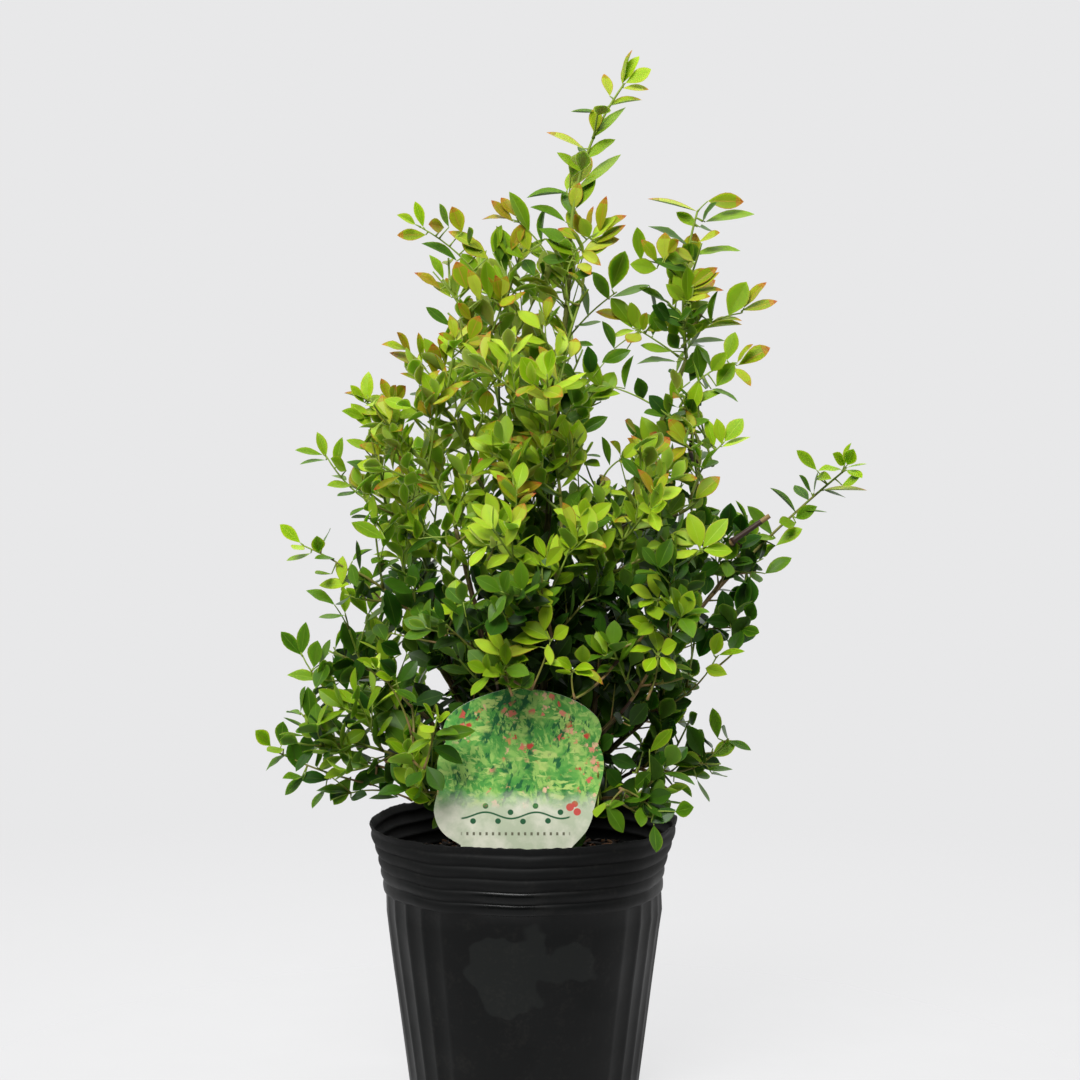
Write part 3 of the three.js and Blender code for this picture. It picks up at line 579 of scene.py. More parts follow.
SHOOTS = {
    "leader_spire": Shoot((18, 0, 322), (41, 0, 390), (16, 15, 9), 2, 0.1, 14.2, 6.2),
    "leader_foot": Shoot((12, -4, 266), (32, -8, 334), (20, 22, 14), 6),
    "right_spire": Shoot((63, 5, 286), (76, 5, 345), (24, 25, 14), 5, -0.05, 13.4, 5.6),
    "right_spire_foot": Shoot((60, 2, 226), (70, -6, 284), (24, 32, 26), 7, -0.1),
    "upper_left": Shoot((-9, 8, 262), (-43, 6, 332), (22, 25, 12), 8, 0.26),
    "upper_middle": Shoot((-2, 22, 258), (-8, 24, 336), (22, 24, 12), 7, 0.14),
    "left_shoulder_high": Shoot((-20, -12, 248), (-46, -18, 288), (20, 23, 14), 6, 0.34),
    "left_shoulder": Shoot((-26, -18, 222), (-62, -18, 272), (22, 26, 14), 7, 0.32),
    "left_middle": Shoot((-38, 6, 204), (-82, 6, 246), (22, 22, 12), 6, 0.2),
    "left_side": Shoot((-38, -10, 180), (-84, -14, 214), (22, 24, 12), 7, 0.06),
    "left_low": Shoot((-44, 2, 152), (-85, 4, 176), (22, 22, 12), 6, 0.14, 13.4, 4.6),
    "lower_left": Shoot((-38, -14, 128), (-84, -16, 142), (18, 24, 16), 7, 0.16, 13.6, 4.6),
    "low_front_left": Shoot((-22, -28, 118), (-44, -48, 126), (14, 18, 14), 4, 0.14, 13.6, 4.6),
    "front_high": Shoot((14, -34, 220), (2, -36, 280), (24, 28, 18), 8, -0.02),
    "front_middle": Shoot((10, -50, 180), (-8, -60, 224), (22, 28, 20), 7, -0.04),
    "front_low": Shoot((-8, -40, 154), (-14, -62, 190), (18, 24, 16), 6, -0.08),
    "right_front": Shoot((30, -38, 192), (50, -42, 242), (22, 27, 18), 7, -0.05),
    "right_front_low": Shoot((36, -44, 154), (60, -50, 202), (22, 25, 16), 7, -0.08),
    "right_side": Shoot((62, 8, 180), (92, 8, 214), (24, 25, 16), 7, -0.1),
    "far_right": Shoot((84, 22, 206), (122, 14, 240), (11, 12, 10), 2, 0.15, 10.6, 4.6),
    "right_low": Shoot((46, -10, 146), (80, -14, 172), (20, 24, 15), 6, 0.13, 13.2, 4.6),
    "lower_right": Shoot((38, -8, 124), (76, -8, 134), (16, 20, 14), 6, 0.14, 13.4, 4.6),
    "low_front_right": Shoot((24, -30, 118), (46, -48, 122), (14, 18, 14), 4, 0.14, 13.4, 4.6),
    "back_high": Shoot((8, 46, 224), (16, 52, 286), (24, 28, 16), 8),
    "back_left": Shoot((-30, 40, 178), (-52, 56, 234), (24, 27, 16), 7),
    "back_right": Shoot((36, 42, 176), (54, 54, 234), (24, 27, 16), 7),
    "back_low_left": Shoot((-36, 38, 130), (-70, 56, 158), (18, 24, 14), 6),
    "back_low_right": Shoot((36, 36, 130), (68, 54, 158), (18, 24, 14), 6),
}

# Where a bough leaves another mass's bough, at a share of its length, and not the trunk.
FORKS = {
    "leader_foot": ("leader_spire", 0.6),
    "right_spire_foot": ("right_spire", 0.62),
    "upper_middle": ("leader_spire", 0.45),
    "left_shoulder_high": ("upper_left", 0.7),
    "left_middle": ("left_side", 0.7),
    "front_high": ("front_middle", 0.75),
    "right_front": ("right_front_low", 0.75),
    "far_right": ("right_side", 0.8),
    "back_high": ("back_left", 0.7),
}


EYE = np.array([6.2, -1250.0, 331.0])  # where the camera stands, in millimetres


@dataclass(frozen=True)
class EdgeTwig:
    """A twig at the crown's edge or front that is laid leaf by leaf.

    The course is the x and z of its foot, its bend and its tip, all at one depth. A leaf is its tone's letter, the x
    and z of its root and of its tip in millimetres, and how wide it looks from the front in tenths of one.
    """

    mass: str
    depth: float
    course: tuple[int, ...]
    is_stem: bool
    leaves: tuple[tuple[str, int, int, int, int, int], ...]

    def place(self, number: int) -> np.ndarray:
        """Returns the foot, the bend or the tip of the course."""
        return np.array([self.course[2 * number], self.depth, self.course[2 * number + 1]], float)


# The twigs, each with its mass, its depth and its course, and with "stem" where it is the mass's own stem. Its leaves
# follow the colon: a tone's letter, the x and z of the root, the x and z of the tip and the width.
EDGE_TWIG_TABLE = """
leader_spire 0 18 322 22 358 38 391 stem:
    o38 391 39 405 16, l38 392 43 403 39, l39 392 49 397 47, o38 390 48 390 23, o33 387 31 396 31, o32 383 45 387 16,
    m30 381 18 380 16, o27 373 28 383 85, f26 371 39 383 43, o23 367 9 374 23, f24 363 34 372 39, f22 358 13 366 31,
    m23 363 22 368 31, f20 351 38 364 35, f20 344 28 357 47, o19 344 21 354 93, m17 350 1 350 16, m16 339 3 346 27,
    m18 342 15 351 39;
leader_foot -8 17 309 18 324 25 333:
    b29 335 31 349 39, b25 335 25 345 23, b28 334 38 343 35, b28 331 39 338 39, b22 334 19 342 39, b21 332 13 337 39,
    l26 332 34 342 39, l25 333 22 340 54, o23 328 36 334 47, f20 326 8 332 35, m18 329 7 338 39, f20 324 33 329 27,
    o22 328 29 323 39, o21 323 25 321 31, m18 317 26 320 31, m16 324 7 325 35;
upper_middle 4 16 309 8 328 -2 339:
    f2 335 -5 351 50, b-3 341 -9 348 39, b-4 339 -13 347 35, b-5 340 -16 342 12, o2 328 -2 338 62, m7 331 7 345 19,
    f0 325 -10 332 47, f8 324 2 331 39, m14 321 5 326 31, m-9 324 -10 337 54, f-5 324 -9 338 47, b-5 328 0 339 47,
    m4 318 0 325 47, m8 319 5 323 39, f-12 327 -9 338 39;
upper_left 6 -12 309 -27 328 -40 337:
    l-42 338 -48 342 27, l-39 337 -42 347 31, b-38 334 -49 334 39, b-31 337 -37 338 54, f-29 337 -33 346 27,
    b-24 335 -28 345 58, o-16 328 -29 336 39, m-26 324 -39 332 31, f-21 330 -21 337 16, o-14 325 -24 332 54,
    f-18 317 -24 327 62, m-7 320 -10 332 54;
upper_left -4 -17 296 -26 309 -35 320:
    f-31 317 -35 327 31, b-32 313 -41 321 31, o-28 310 -36 317 31, b-22 313 -26 324 62, o-17 309 -21 321 47,
    m-28 299 -38 306 35, b-20 301 -26 308 39, f-13 309 -15 324 62, b-9 309 -10 318 39;
left_shoulder_high -16 -28 269 -36 281 -44 290:
    b-43 289 -49 297 35, o-44 290 -53 294 23, b-37 283 -51 290 35, o-39 286 -40 297 19, b-34 280 -35 293 50,
    b-30 284 -31 295 27, f-31 282 -38 295 39, o-36 277 -47 282 19, m-38 273 -43 273 16, f-30 274 -37 280 70,
    b-24 292 -33 296 31, o-22 291 -28 299 54;
left_shoulder -14 -47 246 -52 260 -60 273:
    l-60 270 -60 282 47, l-61 270 -66 277 27, b-58 270 -68 275 12, b-51 270 -55 279 39, b-50 270 -49 277 27,
    b-49 271 -44 277 39, l-58 260 -66 270 50, f-61 264 -68 268 31, f-52 259 -49 270 54, f-49 265 -40 267 39,
    o-53 253 -58 262 54, b-48 253 -48 263 35, l-44 250 -47 260 43, o-53 250 -62 255 35, f-56 251 -68 256 23,
    o-41 246 -33 255 27;
left_middle 2 -51 226 -68 237 -77 249:
    f-78 249 -89 250 31, f-77 248 -80 258 43, f-73 244 -71 256 35, m-77 247 -87 246 12, f-69 239 -75 241 19,
    f-67 237 -76 238 27, m-65 235 -72 233 19, m-57 241 -68 248 35, f-69 243 -75 248 47, m-59 225 -67 224 19,
    f-58 217 -67 223 39, m-61 229 -67 225 23, l-48 232 -58 237 39, l-44 233 -53 237 43, l-40 234 -36 242 43;
left_side -12 -51 189 -67 205 -85 215:
    l-86 216 -94 223 43, l-85 215 -88 214 35, f-79 212 -79 219 62, f-82 212 -91 209 19, m-73 210 -80 211 16,
    l-70 200 -70 211 47, l-67 200 -79 200 39, f-74 204 -80 204 23, m-73 192 -83 199 35, m-69 188 -79 187 19,
    m-60 197 -62 207 62, m-77 216 -75 221 12, m-66 209 -59 214 16, m-63 205 -65 217 19, m-59 202 -51 209 31,
    f-48 210 -58 213 23, f-69 189 -69 199 43, m-54 211 -58 209 19;
left_low 0 -59 145 -77 157 -87 172:
    m-87 171 -95 180 47, m-87 171 -85 184 50, m-82 166 -80 177 50, m-80 167 -75 177 27, f-79 161 -92 165 39,
    m-73 157 -80 164 50, d-67 171 -70 184 58, m-66 172 -58 181 54, d-63 168 -58 176 47, d-69 157 -73 171 62,
    d-67 159 -63 171 54;
lower_left -18 -52 129 -75 140 -86 151:
    m-82 147 -83 161 54, m-86 150 -92 151 16, m-82 151 -72 151 31, m-82 144 -93 148 12, m-72 137 -79 144 47,
    m-86 151 -83 161 8, f-61 144 -69 140 47, m-60 146 -48 150 54, d-61 147 -64 160 78;
lower_left -12 -59 122 -80 128 -98 136:
    f-98 137 -103 144 47, f-93 136 -99 136 31, m-94 137 -93 147 50, d-88 128 -90 140 66, m-91 134 -101 129 19,
    d-84 130 -84 142 54, m-85 125 -93 118 35, m-77 120 -82 114 23, m-67 125 -74 114 58, f-70 133 -80 128 35,
    m-86 125 -92 127 23, m-49 117 -60 115 27, m-69 135 -82 139 54, d-75 124 -87 125 39, d-57 128 -67 120 54,
    d-50 127 -56 120 47;
low_front_left -48 -42 147 -49 164 -57 174:
    l-56 172 -60 174 27, l-55 172 -56 177 19, l-54 172 -54 176 16, l-49 168 -55 171 23, d-48 170 -52 176 47,
    d-46 167 -40 175 70, m-48 164 -40 162 27;
low_front_left -60 -37 136 -34 146 -32 156:
    l-33 154 -38 161 23, l-32 155 -31 161 19, l-32 154 -27 158 31, l-33 152 -38 151 39, f-34 147 -43 143 31,
    m-33 147 -18 151 50, d-34 144 -22 139 50, d-36 137 -30 128 62, m-33 149 -25 152 23, d-38 135 -43 130 47;
front_middle -58 -13 214 -10 221 -9 228:
    l-9 228 -14 239 50, l-9 227 -19 235 50, f-9 227 -5 235 39, l-8 227 4 235 35, l-9 226 -17 227 31,
    f-9 225 -1 222 31, f-9 228 -22 231 31, f-14 219 -21 224 39;
front_middle -66 7 200 7 208 7 212:
    l7 212 -6 219 54, l7 212 7 216 31, l8 212 15 220 47, l5 209 -6 209 35, l6 209 -3 205 27, f9 207 12 214 43;
front_low -70 3 167 7 176 10 185:
    l10 186 -4 187 47, l10 186 -1 192 54, l8 189 9 200 47, l10 198 7 204 50, l11 186 17 191 47, l9 184 10 177 35,
    o6 183 -9 180 27, f-1 194 -11 190 31, f-2 193 -8 201 47, f-1 194 -3 204 58;
front_low -72 -4 165 -6 174 -6 180:
    l-7 181 -13 191 47, l-8 180 -18 186 35, f-6 179 2 183 35, f-7 174 -10 177 19, f-4 172 -16 174 23,
    m-1 168 4 174 47;
front_low -72 19 164 18 169 18 174:
    l18 175 8 178 23, l18 175 14 180 31, l19 175 25 177 27, o20 175 30 170 27, l17 173 13 173 19, f22 177 22 185 58,
    l19 174 25 175 23;
front_middle -50 -30 183 -27 190 -26 195:
    l-26 196 -25 205 50, l-26 195 -34 194 47, l-26 195 -23 190 50, m-24 195 -17 194 39;
right_front -54 26 213 24 220 23 227:
    l22 228 11 232 35, l23 228 19 234 39, l23 228 23 237 54, l24 228 32 235 54, f19 226 12 230 31, f24 224 23 219 54,
    f26 225 29 218 35, l22 218 14 222 43, l24 215 27 214 23;
right_front -52 57 202 60 210 66 217:
    l66 218 62 231 62, l65 219 55 223 50, l67 218 76 229 58, l67 217 78 217 50, l65 217 55 214 31, l67 216 61 214 31,
    f52 219 46 219 31;
right_front_low -60 43 184 48 192 50 199:
    l50 200 47 211 47, l48 200 40 205 39, l48 199 43 198 23, l50 199 58 192 39, l51 200 60 197 27, f47 197 50 194 50;
right_front_low -60 46 162 49 170 50 178:
    l50 180 49 188 50, l51 180 57 184 50, l49 178 45 174 43, l51 178 56 173 47, l48 181 40 182 23, l47 189 40 193 58,
    f48 190 43 188 47;
right_front -40 54 218 49 224 45 229:
    f47 227 41 235 47, f48 228 48 236 50, f49 227 52 233 39, o44 227 33 228 19, f37 218 45 223 43, f35 220 34 228 27;
right_spire 4 63 286 62 315 67 343 stem:
    b71 347 85 347 58, m69 339 72 347 12, f70 339 89 343 35, o67 343 48 349 12, f67 337 59 343 35, m68 337 73 336 23,
    o67 331 76 334 19, f66 326 83 331 27, m64 329 50 340 19, m67 324 63 331 54, m63 292 78 294 19, f57 289 45 291 31,
    m59 285 44 287 16, m60 278 56 282 12, m60 290 56 296 47, m62 281 67 286 54, d63 273 68 269 54, f59 294 57 302 47,
    o59 323 53 332 54, m62 324 65 331 47, f60 314 56 324 54, o62 308 57 319 54, b63 309 74 317 54, o63 313 70 321 43,
    f64 299 72 308 31, f64 296 73 301 31, d57 301 50 307 50, m56 297 50 302 35;
right_spire -6 62 309 57 320 48 324:
    f45 324 43 337 47, o51 324 46 332 39, o54 324 54 335 58, b55 327 60 332 35, f51 321 41 323 62, m65 320 49 324 35,
    f64 324 54 326 47, o65 324 58 329 31;
right_spire -8 61 298 64 307 65 315:
    b64 314 74 322 43, o65 313 75 320 35, b64 311 76 315 23, o63 309 71 311 23, f62 308 58 319 50, f63 308 62 322 54,
    f63 305 71 309 31, m72 300 73 313 19, m64 302 71 308 23, f61 309 55 315 47, d56 303 50 307 47, d61 299 53 306 54,
    m59 301 65 305 27;
right_spire 0 61 291 70 299 84 304:
    f79 303 86 316 78, b85 306 92 317 35, b84 305 98 308 35, o73 301 84 303 16, o70 298 84 301 19, f64 296 73 302 39,
    f63 294 68 300 35;
right_spire_foot -8 60 268 68 279 80 285:
    m68 279 66 292 58, m72 282 68 293 19, f78 286 81 297 70, o82 285 86 293 16, b82 284 95 290 47, o81 283 87 278 31,
    f74 276 81 285 62, f72 282 77 289 50, m72 275 83 272 16, f64 268 76 275 31, m64 266 65 272 50, m70 275 69 280 16;
right_spire_foot -12 64 233 70 247 76 254:
    m60 260 71 264 31, l73 253 70 264 43, l76 254 74 264 43, l77 255 84 264 58, l76 253 87 257 27, m68 244 75 246 19,
    o66 233 75 242 58, m68 243 72 253 16, f72 253 68 256 31;
leader_foot 6 15 291 26 304 36 312:
    f34 313 39 328 78, m33 309 27 320 47, m34 310 49 314 27, m25 302 22 316 27, m20 299 30 300 16, m18 291 26 293 19,
    m16 293 21 310 43;
right_spire_foot 6 60 287 53 292 45 297:
    b39 301 28 305 35, f41 300 34 310 58, f43 298 42 308 47, f45 297 48 304 62, o45 296 40 293 47, o47 297 57 300 39,
    m50 295 51 306 35, l43 297 34 295 23, m51 302 49 315 12, f42 298 35 310 58, f45 297 41 308 47, o46 297 47 304 31,
    m35 290 31 301 35, m53 309 45 314 23, m45 314 55 309 23, m40 290 30 285 35;
leader_foot -4 14 279 22 281 29 276:
    d26 281 25 291 70, f30 275 23 288 58, f30 272 35 281 66, m31 285 40 290 47, m39 275 41 288 27, d46 271 44 279 66,
    m20 279 15 285 31, f22 274 34 275 31, l25 271 37 274 31;
right_spire_foot -14 59 262 48 270 34 276:
    d55 265 48 273 50, m54 265 46 267 23, f56 266 54 274 31, f51 250 46 265 70, m48 253 39 263 27, f55 257 50 263 47,
    d60 256 51 263 50, o48 250 41 257 39, b45 251 51 259 39;
front_high -16 29 238 32 244 38 249:
    m33 246 29 257 35, o37 250 34 256 16, l38 249 44 255 62, o36 248 42 247 19, f46 241 51 247 47, b43 259 39 264 19,
    d29 237 28 241 31;
front_high -14 29 235 25 243 23 250:
    m21 258 32 265 54, f23 250 27 255 16, m23 250 29 250 16, f23 247 28 248 23, f22 250 18 253 39;
front_middle -40 -28 217 -29 220 -29 223:
    f-29 223 -29 231 50, f-25 226 -24 234 31, d-17 203 -20 211 47, f-40 220 -40 228 35, f-52 220 -64 226 47;
left_low -20 -32 178 -42 180 -51 182:
    d-49 184 -52 199 66, d-43 191 -37 196 54, f-44 182 -44 191 50, d-40 182 -33 190 62, m-53 179 -57 185 54,
    d-47 174 -54 179 62;
low_front_left -44 -42 157 -45 160 -47 164:
    d-42 158 -30 162 54, d-47 163 -41 173 70, m-48 167 -53 175 47;
lower_left -14 -43 116 -56 120 -67 119:
    m-70 140 -74 148 39, d-61 143 -70 147 39, m-80 129 -80 137 35, d-59 133 -65 135 31, m-67 119 -80 122 31,
    d-67 117 -61 120 31, d-49 118 -54 121 31, d-75 116 -69 123 47;
low_front_right -44 55 125 48 130 41 132:
    d43 134 33 138 54, d37 126 31 134 66, m42 126 48 133 62, d29 141 33 147 47, d42 150 33 146 47, d45 140 37 143 27,
    d48 135 54 140 54, d50 125 51 134 54;
right_side 18 62 180 97 216 125 241 stem:
    l126 243 127 253 12, l127 244 129 251 62, l126 244 121 249 35, l127 243 134 245 12, l125 242 116 244 16,
    l127 242 132 240 27, l125 236 132 240 35, o117 234 135 235 12, m118 234 127 231 16, m114 233 115 242 12,
    f115 242 107 250 35, f115 239 119 240 31, m113 233 107 240 27, m112 230 107 235 35, m107 225 98 236 8,
    m107 223 114 228 50, m109 226 119 226 12, f107 221 100 222 43, f99 212 110 218 39, f99 215 91 216 23,
    f99 212 93 208 35, m98 216 88 228 35, m95 201 105 208 47, m90 202 92 198 35, d90 202 87 214 66, d85 216 85 225 62,
    d80 216 81 229 81, d71 216 70 229 58;
right_side 0 65 198 75 203 88 203:
    d88 202 83 187 58, d88 201 89 191 47, d86 200 81 201 39, m82 203 71 205 39, d72 202 70 196 54, d68 202 76 207 47;
right_side -6 59 180 73 182 87 183:
    d79 185 77 197 78, m84 182 91 181 43, d87 185 89 193 50, d85 182 80 174 47, d80 184 71 186 47, d73 182 68 171 70,
    d70 182 64 178 54;
right_low -16 48 151 64 159 74 172:
    l73 173 75 182 58, l75 173 85 175 23, l70 168 77 167 50, l64 163 62 166 27, m62 159 67 161 43, d54 153 65 155 54,
    m60 160 56 169 54, d57 170 64 168 31;
lower_right -12 45 128 64 128 79 140:
    m75 140 73 152 39, m79 140 76 146 8, f73 133 82 139 54, m79 139 88 136 27, m70 128 81 128 27, m73 126 79 124 12,
    m67 124 71 116 16, d69 133 63 145 66, f69 131 62 135 31, m64 146 66 151 35, m58 123 65 119 23, f68 129 57 131 31;
right_low -32 29 141 36 149 47 158:
    d34 147 31 158 54, d39 152 35 162 54, d44 156 40 164 54, m41 153 47 157 39, d30 143 27 152 47, d48 154 50 162 50,
    d36 149 41 147 35;
low_front_right -50 36 127 44 123 49 118:
    m57 118 64 121 54, m49 113 50 104 50, d48 114 57 119 58, m28 120 38 122 35, m37 122 48 124 31, m44 120 44 114 47;
low_front_right -54 37 127 34 124 32 121:
    m31 121 38 111 54, f30 122 27 119 31
"""


def read_twig(entry: str) -> EdgeTwig:
    """Reads one twig of the table.

    Args:
        entry: Its text, up to the semicolon.

    Returns:
        The twig.
    """
    head, leaves = entry.split(":")
    mass, depth, *course = head.split()
    is_stem = course[-1] == "stem"
    cells = [leaf.strip() for leaf in leaves.split(",")]
    read = tuple((cell[0], *map(int, cell[1:].split())) for cell in cells)
    return EdgeTwig(mass, int(depth), tuple(map(int, course[:6])), is_stem, read)


EDGE_TWIGS = tuple(read_twig(entry) for entry in EDGE_TWIG_TABLE.split(";"))
LAID_STEMS = {twig.mass: twig for twig in EDGE_TWIGS if twig.is_stem}

# The crown's outline as it stands before the eye, in the upright plane through the trunk.
CROWN = (
    (-21, 325), (-9, 332), (2, 334), (8, 331), (12, 335), (15, 345), (17, 355), (19, 363), (23, 373), (26, 381),
    (30, 387), (35, 389), (36, 384), (32, 377), (28, 366), (25, 357), (23, 344), (21, 332), (25, 324), (25, 313),
    (20, 307), (19, 297), (24, 290), (32, 277), (36, 270), (33, 266), (40, 256), (50, 258), (56, 267), (56, 278),
    (56, 297), (54, 313), (62, 324), (64, 335), (69, 335), (69, 324), (69, 309), (69, 292), (68, 272), (69, 259),
    (69, 240), (75, 232), (83, 230), (90, 224), (95, 214), (91, 202), (91, 193), (90, 183), (85, 175), (72, 171),
    (66, 166), (66, 158), (62, 153), (62, 149), (68, 146), (73, 138), (82, 131), (77, 124), (66, 120), (63, 111),
    (54, 105), (46, 108), (38, 111), (30, 109), (30, 86), (-33, 86), (-36, 111), (-49, 115), (-64, 114), (-73, 115),
    (-83, 120), (-92, 126), (-98, 134), (-96, 138), (-88, 143), (-83, 153), (-80, 156), (-87, 164), (-80, 171),
    (-73, 175), (-71, 182), (-76, 190), (-77, 196), (-71, 202), (-67, 208), (-56, 212), (-61, 218), (-64, 224),
    (-62, 232), (-68, 235), (-69, 242), (-61, 248), (-64, 255), (-63, 263), (-63, 270), (-56, 275), (-47, 271),
    (-41, 277), (-47, 287), (-44, 291), (-36, 291), (-29, 296), (-32, 304), (-27, 308), (-32, 314), (-33, 322),
    (-28, 328),
)


# The crown's gaps in the same plane: the centre's x and z, and half the width and height.
OPENINGS = (
    (-34, 161, 5, 5.5), (-48, 167, 3.7, 5.3), (-59, 210, 7.5, 5), (-67, 186, 5.5, 3.5), (37, 135, 8.5, 5),
    (46, 143, 3.3, 4.5), (40, 123, 2.6, 4), (61, 139, 3.7, 2.9), (73, 194, 4, 7), (66, 173, 5.3, 4.5),
    (18, 309, 2.5, 5), (28, 243, 4, 4), (37, 242, 5.3, 3.3), (32, 258, 8.5, 12), (11, 294, 2.6, 5), (20, 284, 4, 4.5),
    (20, 302, 4.5, 7), (27, 296, 4, 4.5), (51, 280, 7, 6), (63, 277, 3.3, 4.5), (71, 307, 3, 5), (-10, 272, 4, 4.5),
    (-34, 228, 3.5, 3.2), (-26, 202, 2.5, 2.5), (-21, 197, 2.5, 2.5),
)


def in_crown(point: np.ndarray) -> bool:
    """Returns True if a point lies within the crown's outline and clear of its gaps as seen from the eye."""
    seen = EYE + (point - EYE) * (EYE[1] / (EYE[1] - point[1]))
    if any(((seen[0] - x) / wide) ** 2 + ((seen[2] - z) / high) ** 2 < 1 for x, z, wide, high in OPENINGS):
        return False
    inside = False
    for (x0, z0), (x1, z1) in zip(CROWN, CROWN[1:] + CROWN[:1]):
        if (z0 > seen[2]) != (z1 > seen[2]) and seen[0] < lerp(x0, x1, (seen[2] - z0) / (z1 - z0)):
            inside = not inside
    return inside


def ripeness(height: float) -> float:
    """Returns 0 low in the crown, where leaves and wood look old, and 1 high in it, where they look young."""
    return smoothstep(height, 190, 250)


# Cut twigs that show at the crown's edge: the mass, then the x, y and z of the foot and end, and the radius.
STUBS = (
    ("right_side", (80, -12, 216.5), (94.5, -12, 226.5), 1.15),
    ("right_spire_foot", (64.2, -2, 251), (65.4, -2, 258.5), 0.8),
)


@dataclass
class Spray:
    """A leafy limb, its order from the stem outwards, and its share of youth."""

    limb: Limb
    order: int
    youth: float
    shoot: str
    seed: int
    is_leafy: bool = True


@dataclass
class Bush:
    """The bush's limbs, grown by the same rule as the solids and carried on to finer sprigs."""

    soil_top: float = 89.0
    mound: float = 1.5
    trunk_height: float = 19.0
    head_height: float = 9.5
    head_radius: float = 8.2
    stand_off: float = 1.4
    seat_angle: float = 0.52
    bough_radii: tuple[float, float] = (1.7, 0.9)
    bough_bend: tuple[float, float] = (0.4, 0.5)  # shares of its run and of its rise at its bend
    side_bough_radii: tuple[float, float] = (1.15, 0.7)
    side_bough_bend: tuple[float, float] = (0.5, 0.42)
    stem_bend: float = 0.4
    stem_tip: float = 0.4
    twig_radii: tuple[float, float] = (0.5, 0.32)
    twig_span: tuple[float, float] = (0.05, 0.83)  # share of the stem at its lowest twig, and from there to its highest
    leaf_room: float = 5.2
    sprig_radii: tuple[float, float] = (0.34, 0.22)
    sprig_pitch: float = 11.0
    sprig_top: float = 0.9  # share of a limb above which it bears no sprigs
    bough_pitch: float = 5.2  # between the leafy sprigs of a bough
    bare_height: float = 108.0  # a bough bears no sprigs below it
    laid_radii: tuple[float, float] = (0.45, 0.3)
    stalk_radii: tuple[float, float] = (0.3, 0.22)
    laid_youth: tuple[float, float] = (0.16, 0.55)  # how young its wood looks low in the crown, and high in it
    link_youth: tuple[float, float] = (0.02, 0.3)
    stalk_youth: tuple[float, float] = (0.15, 0.6)
    least_youth: float = 0.18  # of the leaves low in the crown
    high_youth: float = 0.44  # added with height in the crown's middle
    top_youth: float = 0.3  # added from there to its top
    # Leaves are made lighter towards the front and darker further back: painted shade on the crown's inside.
    front_youth: float = 0.06
    youth_range: float = 0.4
    boughs: dict[str, Limb] = field(default_factory=dict)
    stems: dict[str, Limb] = field(default_factory=dict)
    sprays: list[Spray] = field(default_factory=list)

    @property
    def trunk_foot(self) -> float:
        """Height of the trunk's flat cut."""
        return self.soil_top + self.mound + GAP

    @property
    def head(self) -> np.ndarray:
        """Centre of the trunk's head."""
        return np.array([0, 0, self.trunk_foot + self.trunk_height - self.head_height])

    def seats(self, names: Sequence[str]) -> list[np.ndarray]:
        """Finds where boughs sit on the trunk's head.

        Args:
            names: The boughs that spring from the trunk.

        Returns:
            A direction from the head's centre for each, pushed a set angle apart.
        """
        seats = [unit(np.array(SHOOTS[name].foot) - self.head) for name in names]
        for _ in range(200):
            for a in range(len(seats)):
                for b in range(a + 1, len(seats)):
                    angle = math.acos(min(1.0, float(seats[a] @ seats[b])))
                    if angle >= self.seat_angle:
                        continue
                    apart = unit(seats[a] - seats[b]) * (self.seat_angle - angle) / 2
                    seats[a] = unit(seats[a] + apart)
                    seats[b] = unit(seats[b] - apart)
        return seats

    def bough(self, start: np.ndarray, name: str, shares: tuple[float, float], radii: tuple[float, float]) -> Limb:
        """Makes a bough that leaves flatter and turns up.

        Args:
            start: Its foot.
            name: The mass that it carries.
            shares: Shares of its run and of its rise at its bend.
            radii: Its radii at its foot and tip.

        Returns:
            The bough.
        """
        end = np.array(SHOOTS[name].foot, float)
        run, rise = shares
        bend = start + (end - start) * np.array([run, run, rise])
        return Limb(start, bend, end, *radii)

    def grow_boughs(self) -> None:
        """Grows every bough, first those on the trunk and then those that fork off them."""
        main = [name for name in SHOOTS if name not in FORKS]
        reach = self.head_radius + GAP + self.stand_off
        for name, seat in zip(main, self.seats(main)):
            self.boughs[name] = self.bough(self.head + seat * reach, name, self.bough_bend, self.bough_radii)
        for name, (parent_name, at) in FORKS.items():
            parent = self.boughs[parent_name]
            fork, tangent = parent.point(at), parent.tangent(at)
            aside = np.array(SHOOTS[name].foot, float) - fork
            aside = unit(aside - tangent * (aside @ tangent))
            start = fork + aside * (parent.radius(at) + GAP + self.side_bough_radii[0])
            self.boughs[name] = self.bough(start, name, self.side_bough_bend, self.side_bough_radii)

    def stem(self, name: str) -> Limb:
        """Returns the stem of a mass, which carries on from its bough and turns to its own end."""
        shoot, onward = SHOOTS[name], self.boughs[name].tangent(1)
        start = np.array(shoot.foot, float) + onward * GAP
        radii = self.side_bough_radii[1], self.stem_tip
        if name in LAID_STEMS:
            return Limb.through(start, LAID_STEMS[name].place(1), LAID_STEMS[name].place(2), *radii)
        end = np.array(shoot.top, float)
        turn = start + onward * np.linalg.norm(end - start) * self.stem_bend
        return Limb(start, turn, end, *radii)

